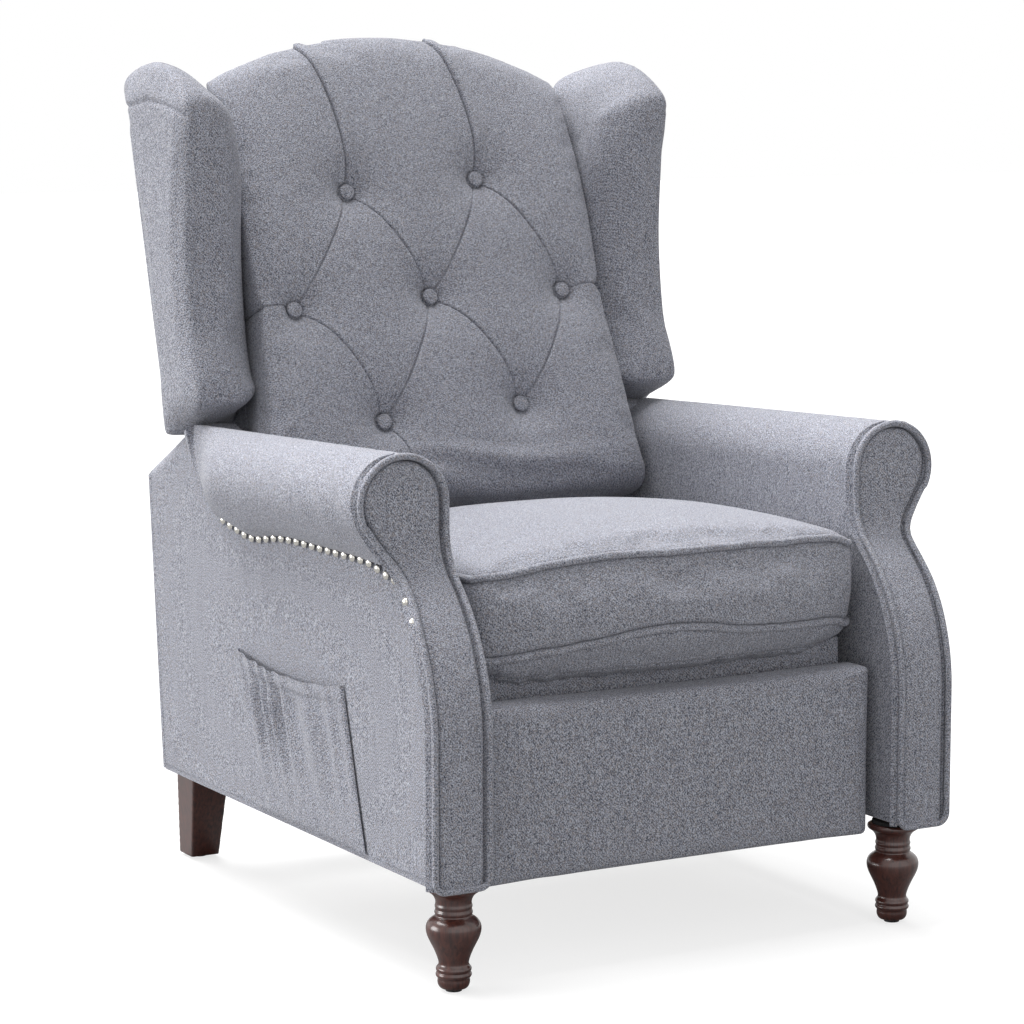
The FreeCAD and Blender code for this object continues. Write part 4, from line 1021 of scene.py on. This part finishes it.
def tufted(piece):
    """Draws the buttons in and folds the pleats between them."""
    points, normals = read_points(piece), read_normals(piece)
    facing = smooth_step(-0.30, 0.10, normals @ FRONT_OUT)
    u, v = points[:, 0].copy(), (points - FRONT_ORIGIN) @ FRONT_UP
    depth, crease, lip = np.zeros(len(points)), np.zeros(len(points)), np.zeros(len(points))
    for line, shallow, deep, fold in pleat_lines():
        gap, along, sign, foot = line_distance(u, v, line)
        inside = (along > 0) & (along < 1)
        snap = (gap < PLEAT_SNAP) & inside & (facing > 0.3)
        u, v = np.where(snap, foot[0], u), np.where(snap, foot[1], v)
        gap = np.where(snap, 0, gap)
        ends = np.abs(2 * along - 1) ** 2 if fold == 0 else (1 - along) ** 2
        depth = np.maximum(depth, (shallow + deep * ends) * np.exp(-gap / PLEAT_SPREAD))
        crease = np.maximum(crease, CREASE_DEPTH * np.exp(-(gap / CREASE_WIDTH) ** 2) * inside)
        flap = smooth_step(0.020, 0.006, gap) * (sign < 0) * (gap > 0) * inside
        lip += fold * flap * smooth_step(0.0, 0.2, along)
    for bu, bv in BUTTONS.values():
        r = np.hypot(u - bu, v - bv)
        drawn_in = np.exp(-np.maximum(r - 0.011, 0) / BUTTON_SPREAD)
        depth = np.maximum(depth, padding().tuft_depth * drawn_in)
        crease *= smooth_step(0.009, 0.012, r)
        crease += 0.0025 * np.exp(-((r - 0.0112) / 0.0012) ** 2)
    low = smooth_step(-0.17, -0.22, v)
    lip += 0.0026 * low * np.sin(v * 150 + 8 * u + 1.5 * np.sin(u * 18)) * np.exp(-(u / 0.16) ** 2)
    moved = points + np.outer(u - points[:, 0], (1, 0, 0))
    moved += np.outer(v - (points - FRONT_ORIGIN) @ FRONT_UP, FRONT_UP)
    write_points(piece, moved + normals * ((lip - depth - crease) * facing)[:, None])


def line_distance(u, v, line):
    """Distance to a flat line of points, share along it, side of it and nearest point, for each (u, v)."""
    best = np.full(len(u), 9.0)
    along, sign = np.zeros(len(u)), np.zeros(len(u))
    foot = np.zeros((2, len(u)))
    count = len(line) - 1
    for i in range(count):
        start, step = line[i], line[i + 1] - line[i]
        t = np.clip(((u - start[0]) * step[0] + (v - start[1]) * step[1]) / (step @ step), 0, 1)
        du, dv = u - start[0] - t * step[0], v - start[1] - t * step[1]
        gap = np.hypot(du, dv)
        nearer = gap < best
        best = np.where(nearer, gap, best)
        along = np.where(nearer, (i + t) / count, along)
        sign = np.where(nearer, np.sign(step[0] * dv - step[1] * du), sign)
        foot = np.where(nearer, (u - du, v - dv), foot)
    return best, along, sign, foot


def covered_button():
    """One covered button facing +Z: a domed cap with a rolled rim."""
    deselect()
    radius = padding().button_radius
    bpy.ops.mesh.primitive_uv_sphere_add(segments=28, ring_count=16, radius=radius)
    cap = bpy.context.object
    points = read_points(cap)
    reach = np.hypot(points[:, 0], points[:, 1]) / radius
    points[:, 2] *= np.where(points[:, 2] > 0, 0.30 + 0.12 * reach ** 4, 0.5)
    write_points(cap, points)
    return cap


class RECLINER_OT_back(bpy.types.Operator):
    """Makes the tufted back cushion, its buttons and the outside back."""
    bl_idname = "recliner.back"
    bl_label = "Back"

    def execute(self, context):
        cushion = loft("back_cushion_cover", back_rings())
        remeshed(cushion, BACK_VOXEL)
        inflated(cushion, CUSHION_PRESSURE, CUSHION_SWELL)
        subdivided(cushion)
        for reach in (0.009, 0.004, 0.002):
            refined(cushion, reach)
        tufted(cushion)
        covered(cushion, "back_unit", ["back_cushion"])
        self.add_buttons(cushion)
        self.add_outside()
        rail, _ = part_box("back_bottom_rail")
        lowest = (rail.z - 0.002 - BACK_HEIGHT) / math.cos(BACK_REAR_RAKE)
        v = np.linspace(lowest, BACK_LOW + 0.03, 30)[:, None]
        u = np.linspace(-BACK_HALF, BACK_HALF, 60)[None, :]
        apron = panel("back_apron_cover", on_back(u, v, 0.06), 0.003, (0, -1, 0))
        covered(apron, "back_unit")
        for label, side in SIDES:
            v = np.linspace(-0.285, 0.20, 60)[:, None]
            share = np.linspace(-0.38, 0.15, 12)[None, :]
            edge = on_back(BACK_HALF + 0.0033, v, share)
            cover = panel(f"{label}_back_side_cover", turned(edge, side), 0.0008, (side, 0, 0))
            covered(cover, "back_unit")
        return {"FINISHED"}

    def add_buttons(self, cushion):
        pattern = covered_button()
        shape = read_points(pattern)
        shape = shape @ np.array([(1, 0, 0), FRONT_UP, FRONT_OUT])
        starts = [FRONT_ORIGIN + FRONT_UP * v + (u, 0, 0) + FRONT_OUT * 0.1 for u, v in BUTTONS.values()]
        seats = landed(cushion, starts, -FRONT_OUT)
        buttons = repeated("tuft_buttons", pattern, [shape + seat + FRONT_OUT * 0.0042 for seat in seats])
        covered(buttons, "back_unit", ["back_buttons"])

    def add_outside(self):
        outside = node_copy("outside_back", "outside_back_cover")
        sharp = math.radians(30)
        apply_modifier(outside, "BEVEL", width=0.0025, segments=3, limit_method="ANGLE", angle_limit=sharp)
        covered(outside, "back_unit", ["outside_back"])
        for node, name in (("back_top_rail", "back_rail_cover"), ("back_stiles", "back_stile_cover")):
            wrap = softened_copy(node, name, 0.004, 2)
            write_points(wrap, read_points(wrap) + 0.003 * read_normals(wrap))
            if node == "back_stiles":
                keep_above(wrap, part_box(node)[1].z - 0.10)
            covered(wrap, "back_unit")


def keep_above(piece, height):
    """Cut away what lies below a height and close the cut."""
    mesh = bmesh.new()
    mesh.from_mesh(piece.data)
    everything = mesh.verts[:] + mesh.edges[:] + mesh.faces[:]
    cut = {"plane_co": (0, 0, height), "plane_no": (0, 0, 1), "clear_inner": True}
    bmesh.ops.bisect_plane(mesh, geom=everything, **cut)
    bmesh.ops.holes_fill(mesh, edges=[edge for edge in mesh.edges if edge.is_boundary])
    mesh.to_mesh(piece.data)
    mesh.free()


def node_copy(node, name):
    """A free copy of a solid, with the doubled points along its edges merged."""
    piece = frame["nodes"][node].copy()
    piece.data = piece.data.copy()
    piece.name = name
    for key in list(piece.keys()):
        del piece[key]
    piece.parent = None
    bpy.context.scene.collection.objects.link(piece)
    cleaned(piece, 1e-5, outwards=False)
    return piece


def softened_copy(node, name, voxel, passes):
    """A copy of a solid with its edges rounded over."""
    piece = node_copy(node, name)
    remeshed(piece, voxel)
    apply_modifier(piece, "SMOOTH", factor=0.5, iterations=passes)
    return piece


# Wings

WING_INNER, WING_OUTER = 0.253, 0.345
# How much thinner a wing is at its top
WING_TAPER = 0.022
WING_VOXEL, WING_PRESSURE, WING_SWELL = 0.005, 2.5, 0.005
# Radii of the edges that face the rear, the top, the front and the foot
WING_OUTER_ROUND = np.array([0.006, 0.018, 0.010, 0.008])
WING_INNER_ROUND = np.array([0.006, 0.085, 0.056, 0.034])
# Side view of a wing as (y, z), from the lower front corner round the rear and over the top
WING_OUTLINE = (
    (0.184, 0.602), (0.193, 0.589), (0.240, 0.568), (0.278, 0.549), (0.288, 0.555), (0.305, 0.620),
    (0.325, 0.690), (0.346, 0.770), (0.368, 0.850), (0.390, 0.930), (0.402, 0.972), (0.399, 0.988),
    (0.380, 0.999), (0.350, 1.007), (0.315, 1.010), (0.282, 1.005), (0.255, 0.995), (0.228, 0.980),
    (0.209, 0.962), (0.207, 0.930), (0.212, 0.880), (0.217, 0.780), (0.207, 0.690), (0.190, 0.635))
# Seam across the top of the outer panel, from the rear to the front
WING_SEAM = ((0.402, 0.950), (0.360, 0.955), (0.310, 0.962), (0.262, 0.957), (0.212, 0.945))


def smooth_ring(points, count):
    """Closed smooth line through points, resampled to an even count."""
    points = np.asarray(points)
    fine = []
    n = len(points)
    t = np.linspace(0, 1, 24, endpoint=False)[:, None]
    for i in range(n):
        a, b, c, d = points[i - 1], points[i], points[(i + 1) % n], points[(i + 2) % n]
        fine.append(0.5 * (2 * b + (c - a) * t + (2 * a - 5 * b + 4 * c - d) * t ** 2
                           + (3 * b - a - 3 * c + d) * t ** 3))
    fine = np.concatenate(fine)
    closed = np.concatenate([fine, fine[:1]])
    run = np.concatenate([[0], np.cumsum(np.linalg.norm(np.diff(closed, axis=0), axis=1))])
    at = np.linspace(0, run[-1], count, endpoint=False)
    return np.stack([np.interp(at, run, closed[:, i]) for i in range(closed.shape[1])], -1)


def blended_open(stations):
    """Evenly spaced points along an open line of (y, z) stations."""
    y, z = np.array(stations).T
    at = np.linspace(0, len(y) - 1, 60)
    return np.stack([np.interp(at, np.arange(len(y)), y), np.interp(at, np.arange(len(y)), z)], -1)


def blended(ring, passes):
    """Values round a closed ring, averaged with their neighbours."""
    for _ in range(passes):
        ring = 0.25 * np.roll(ring, 1, 0) + 0.5 * ring + 0.25 * np.roll(ring, -1, 0)
    return ring


def wing(name, side):
    """Padded wing: a rounded slab that is drawn in at its edges."""
    line = smooth_ring(WING_OUTLINE, 150)
    ahead, behind = np.roll(line, -1, 0), np.roll(line, 1, 0)
    tangent = (ahead - behind) / np.linalg.norm(ahead - behind, axis=1, keepdims=True)
    inward = np.stack([tangent[:, 1], -tangent[:, 0]], -1)
    centre = line.mean(0)
    if ((centre - line) * inward).sum() < 0:
        inward = -inward
    facing = np.clip(-np.c_[inward, -inward], 0, 1) ** 2
    radii = np.c_[facing @ WING_INNER_ROUND, facing @ WING_OUTER_ROUND]
    inward, radii = blended(inward, 24), blended(radii, 24)
    rings = []
    for t in np.linspace(-1, 1, 61):
        across = np.sign(t) * (1 - (1 - abs(t)) ** 1.8)
        x = (WING_INNER + WING_OUTER) / 2 + across * (WING_OUTER - WING_INNER) / 2
        depth = np.array([x - WING_INNER, WING_OUTER - x])
        inset = (radii * (1 - quarter_round(depth, radii))).sum(1)
        ring = line + inward * inset[:, None]
        drawn = WING_TAPER * smooth_step(0.86, 1.0, ring[:, 1]) * (WING_OUTER - x) / (WING_OUTER - WING_INNER)
        rings.append(np.c_[x + drawn, ring])
    piece = loft(name, turned(rings, side))
    remeshed(piece, WING_VOXEL)
    inflated(piece, WING_PRESSURE, WING_SWELL)
    apply_modifier(piece, "SMOOTH", factor=0.5, iterations=6)
    subdivided(piece)
    seam = np.array([(side * WING_OUTER, y, z) for y, z in blended_open(WING_SEAM)])
    pressed_along(piece, nearest(piece, seam), 0.005, 0.004)
    return piece


class RECLINER_OT_wings(bpy.types.Operator):
    """Makes the two padded wings."""
    bl_idname = "recliner.wings"
    bl_label = "Wings"

    def execute(self, context):
        for label, side in SIDES:
            piece = wing(f"{label}_wing_cover", side)
            covered(piece, "back_unit", [f"{label}_wing"])
        return {"FINISHED"}


# Footrest: the cover laps over the board behind the pad

FOOT_LAP = 0.002
FOOT_EDGE, FOOT_VOXEL = 0.005, 0.006
FOOT_PRESSURE, FOOT_SWELL = 1.0, 0.002


class RECLINER_OT_footrest(bpy.types.Operator):
    """Makes the padded footrest panel."""
    bl_idname = "recliner.footrest"
    bl_label = "Footrest"

    def execute(self, context):
        low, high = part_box("footrest_pad")
        board_low, board_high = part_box("footrest_board")
        low.x, low.z = min(low.x, board_low.x - FOOT_LAP), min(low.z, board_low.z - FOOT_LAP)
        high.x, high.z = max(high.x, board_high.x + FOOT_LAP), max(high.z, board_high.z + FOOT_LAP)
        high.y = board_high.y - 0.001
        deselect()
        bpy.ops.mesh.primitive_cube_add(size=1, location=(low + high) / 2, scale=high - low)
        piece = bpy.context.object
        piece.name = "footrest_cover"
        bpy.ops.object.transform_apply(location=True, rotation=True, scale=True)
        apply_modifier(piece, "BEVEL", width=FOOT_EDGE, segments=3, limit_method="ANGLE")
        remeshed(piece, FOOT_VOXEL)
        inflated(piece, FOOT_PRESSURE, FOOT_SWELL)
        subdivided(piece)
        covered(piece, "footrest_unit", ["footrest_pad"])
        return {"FINISHED"}


# Side pocket on the viewer's left arm

POCKET_TOP, POCKET_FLOOR = 0.314, 0.131
POCKET_FRONT, POCKET_REAR, POCKET_LEAN, POCKET_SAG = -0.190, 0.084, 0.051, 0.010
# How far the pocket bellies out, the depth of its folds and the thickness of its hem
POCKET_BELLY, FOLD_DEPTH, HEM_DEPTH = 0.0090, 0.0068, 0.0024
# How fast the folds follow one another across the pocket, in radians
FOLD_RUN = 44


class RECLINER_OT_pocket(bpy.types.Operator):
    """Makes the gathered pocket on the left arm."""
    bl_idname = "recliner.pocket"
    bl_label = "Side pocket"

    def execute(self, context):
        row = np.linspace(0, 1, 90)[:, None]
        column = np.linspace(0, 1, 260)[None, :]
        top = POCKET_TOP - POCKET_SAG * np.sin(math.pi * column) ** 0.8
        z = POCKET_FLOOR + row * (top - POCKET_FLOOR)
        lean = POCKET_LEAN * (1 - row)
        y = POCKET_FRONT + column * (POCKET_REAR - POCKET_FRONT) - lean
        edge = np.sin(math.pi * column) ** 0.35
        wander = column * FOLD_RUN + 2.0 * np.sin(column * 9) + 0.8 * np.sin(row * 2.2 + column * 5)
        gather = np.sin(wander) + 0.35 * np.sin(0.47 * wander + 1.0)
        at_hem = smooth_step(0.78, 0.95, row)
        fade = smooth_step(0.05, 0.80, row) * (0.45 + 0.55 * column) * (1 - 0.6 * at_hem)
        stand = 0.0015 + edge * (POCKET_BELLY * row ** 0.5 + FOLD_DEPTH * gather * fade)
        hem = edge * HEM_DEPTH * smooth_step(0.90, 0.93, row) * (1 + 0.3 * np.sin(2 * wander))
        x = -(ARM_OUTER + 0.0015 + stand + hem)
        piece = panel("pocket_cover", points_at(x, y, z), 0.0012, (-1, 0, 0))
        covered(piece, "arm_base", ["side_pocket"])
        return {"FINISHED"}


# Legs

LEG_PROFILE = (
    (0.0, 3.0), (13.6, 3.0), (15.6, 4.2), (17.6, 7.5), (18.2, 11.0), (17.6, 14.4), (17.8, 15.4), (19.4, 16.6),
    (20.2, 18.6), (19.6, 20.6), (18.2, 22.0), (19.4, 23.2), (20.0, 25.2), (19.2, 27.4), (16.6, 29.6),
    (16.6, 33.0), (18.4, 39.0), (22.0, 48.0), (26.6, 56.5), (29.6, 63.0), (31.0, 69.5), (30.4, 75.0),
    (27.6, 80.0), (22.0, 83.6), (19.6, 85.4), (20.8, 87.0), (21.4, 89.0), (20.6, 91.0), (19.6, 92.6),
    (20.6, 94.0), (21.0, 95.8), (20.4, 97.4), (19.8, 99.0), (20.2, 103.0), (22.6, 108.0), (26.8, 111.4),
    (29.8, 113.0), (30.8, 115.4), (30.2, 117.8), (29.0, 119.0), (0.0, 119.0))


class RECLINER_OT_legs(bpy.types.Operator):
    """Turns the front legs on their profile and rounds the edges of the rear legs."""
    bl_idname = "recliner.legs"
    bl_label = "Legs"

    def execute(self, context):
        for label, _ in SIDES:
            low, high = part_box(f"{label}_front_leg")
            centre = (low + high) / 2
            profile = [(centre.x + r * MM, centre.y, z * MM) for r, z in LEG_PROFILE]
            edges = [(i, i + 1) for i in range(len(profile) - 1)]
            leg = mesh_piece(f"{label}_turned_leg", profile, [], edges)
            choose(leg)
            bpy.ops.object.mode_set(mode="EDIT")
            bpy.ops.mesh.select_all(action="SELECT")
            bpy.ops.mesh.spin(steps=48, angle=math.tau, center=(centre.x, centre.y, 0), axis=(0, 0, 1))
            cleaned(leg, 1e-5)
            subdivided(leg)
            dressed(leg, "arm_base", "leg", [f"{label}_front_leg"])
            rear = softened_copy(f"{label}_rear_leg", f"{label}_tapered_leg", 0.002, 3)
            dressed(rear, "arm_base", "leg", [f"{label}_rear_leg"])
        return {"FINISHED"}


class RECLINER_OT_frame(bpy.types.Operator):
    """Gives the timber, steel and small parts of the frame their finishes."""
    bl_idname = "recliner.frame"
    bl_label = "Frame finishes"

    def execute(self, context):
        keys = {"leg_wood": "leg", "frame_wood": "timber", "nail_nickel": "nickel", "felt": "felt",
                "glide_plastic": "nylon", "webbing": "webbing", "spring_steel": "wire", "zinc_steel": "zinc",
                "link_steel": "steel", "upholstery": "cloth"}
        for part in frame["record"]["subparts"]:
            node = frame["nodes"][part["node"]]
            node.data.materials.clear()
            node.data.materials.append(finish_for(keys[part["material_slot"]]))
        return {"FINISHED"}


# Stage

CAMERA_PLACE = (-1.98804, -3.44846, 1.01252)
CAMERA_TURN, CAMERA_DROP = math.radians(29.82), math.radians(7.83)
# Focal length of 3300 pixels in a picture 1024 pixels wide
SENSOR_WIDTH = 36
CAMERA_LENS = SENSOR_WIDTH * 3300 / 1024
# Name, direction in which it shines, strength and spread of each light in degrees
STUDIO_LIGHTS = (
    ("overhead_softbox", (0.12, -0.32, -0.94), 4.9, 50), ("left_softbox", (0.87, -0.45, -0.15), 2.3, 35),
    ("front_fill", (0.1, 0.95, -0.25), 0.75, 90))


class RECLINER_OT_stage(bpy.types.Operator):
    """Adds the floor, the studio lights and the camera."""
    bl_idname = "recliner.stage"
    bl_label = "Stage"

    def execute(self, context):
        deselect()
        bpy.ops.mesh.primitive_plane_add(size=40, location=(0, 0, -0.0005))
        floor = context.object
        floor.name = "studio_floor"
        floor.data.materials.append(self.floor_finish())
        world = bpy.data.worlds.new("studio")
        context.scene.world = world
        world.use_nodes = True
        tree = world.node_tree
        tree.nodes.clear()
        rays = add_node(tree, "ShaderNodeLightPath")
        seen = add_node(tree, "ShaderNodeMath", {"operation": "MAXIMUM"},
                        {0: rays.outputs["Is Camera Ray"], 1: rays.outputs["Is Glossy Ray"]})
        strength = ranged(tree, seen.outputs[0], (0.45, 1.0))
        background = add_node(tree, "ShaderNodeBackground", {"Color": (1, 1, 1, 1)}, {"Strength": strength})
        add_node(tree, "ShaderNodeOutputWorld", links={"Surface": background.outputs[0]})
        for name, shines, energy, spread in STUDIO_LIGHTS:
            lamp = linked(name, bpy.data.lights.new(name, "SUN"))
            lamp.data.energy = energy
            lamp.data.angle = math.radians(spread)
            lamp.rotation_euler = Vector(shines).to_track_quat("-Z", "Y").to_euler()
        camera = linked("camera", bpy.data.cameras.new("camera"))
        camera.data.lens = CAMERA_LENS
        camera.data.sensor_width = SENSOR_WIDTH
        camera.location = CAMERA_PLACE
        forward = Vector((math.sin(CAMERA_TURN) * math.cos(CAMERA_DROP),
                          math.cos(CAMERA_TURN) * math.cos(CAMERA_DROP), -math.sin(CAMERA_DROP)))
        camera.rotation_euler = forward.to_track_quat("-Z", "Y").to_euler()
        context.scene.camera = camera
        context.scene.view_settings.view_transform = "Standard"
        return {"FINISHED"}

    def floor_finish(self):
        """Matt paper sweep: white to the camera, with a soft shadow, and little light thrown back up."""
        material = bpy.data.materials.new("studio_paper")
        material.use_nodes = True
        tree = material.node_tree
        tree.nodes.clear()
        rays = add_node(tree, "ShaderNodeLightPath")
        lift = add_node(tree, "ShaderNodeMath", {"operation": "MULTIPLY", 1: 0.74},
                        {0: rays.outputs["Is Camera Ray"]})
        glow = add_node(tree, "ShaderNodeEmission", {"Color": (1, 1, 1, 1)}, {"Strength": lift.outputs[0]})
        paper = add_node(tree, "ShaderNodeBsdfDiffuse", {"Color": (0.3, 0.3, 0.3, 1)})
        both = add_node(tree, "ShaderNodeAddShader", links={0: glow.outputs[0], 1: paper.outputs[0]})
        add_node(tree, "ShaderNodeOutputMaterial", links={"Surface": both.outputs[0]})
        return material


class RECLINER_PT_panel(bpy.types.Panel):
    """Lists the steps that dress the recliner."""
    bl_idname = "RECLINER_PT_panel"
    bl_label = "Recliner"
    bl_space_type = "VIEW_3D"
    bl_region_type = "UI"
    bl_category = "Recliner"

    def draw(self, context):
        for operator in OPERATORS:
            self.layout.operator(operator.bl_idname)
        for group in (context.scene.recliner_finishes, context.scene.recliner_padding):
            box = self.layout.box()
            for name in group.__annotations__:
                box.prop(group, name)


OPERATORS = (RECLINER_OT_frame, RECLINER_OT_arms, RECLINER_OT_seat, RECLINER_OT_back, RECLINER_OT_wings,
             RECLINER_OT_footrest, RECLINER_OT_pocket, RECLINER_OT_legs, RECLINER_OT_stage)
CLASSES = (RECLINER_Finishes, RECLINER_Padding, *OPERATORS, RECLINER_PT_panel)


def register():
    for each in CLASSES:
        bpy.utils.register_class(each)
    bpy.types.Scene.recliner_finishes = bpy.props.PointerProperty(type=RECLINER_Finishes)
    bpy.types.Scene.recliner_padding = bpy.props.PointerProperty(type=RECLINER_Padding)


def unregister():
    del bpy.types.Scene.recliner_padding
    del bpy.types.Scene.recliner_finishes
    for each in reversed(CLASSES):
        bpy.utils.unregister_class(each)


def main():
    register()
    for operator in OPERATORS:
        group, name = operator.bl_idname.split(".")
        getattr(getattr(bpy.ops, group), name)()


if __name__ == "__main__":
    main()
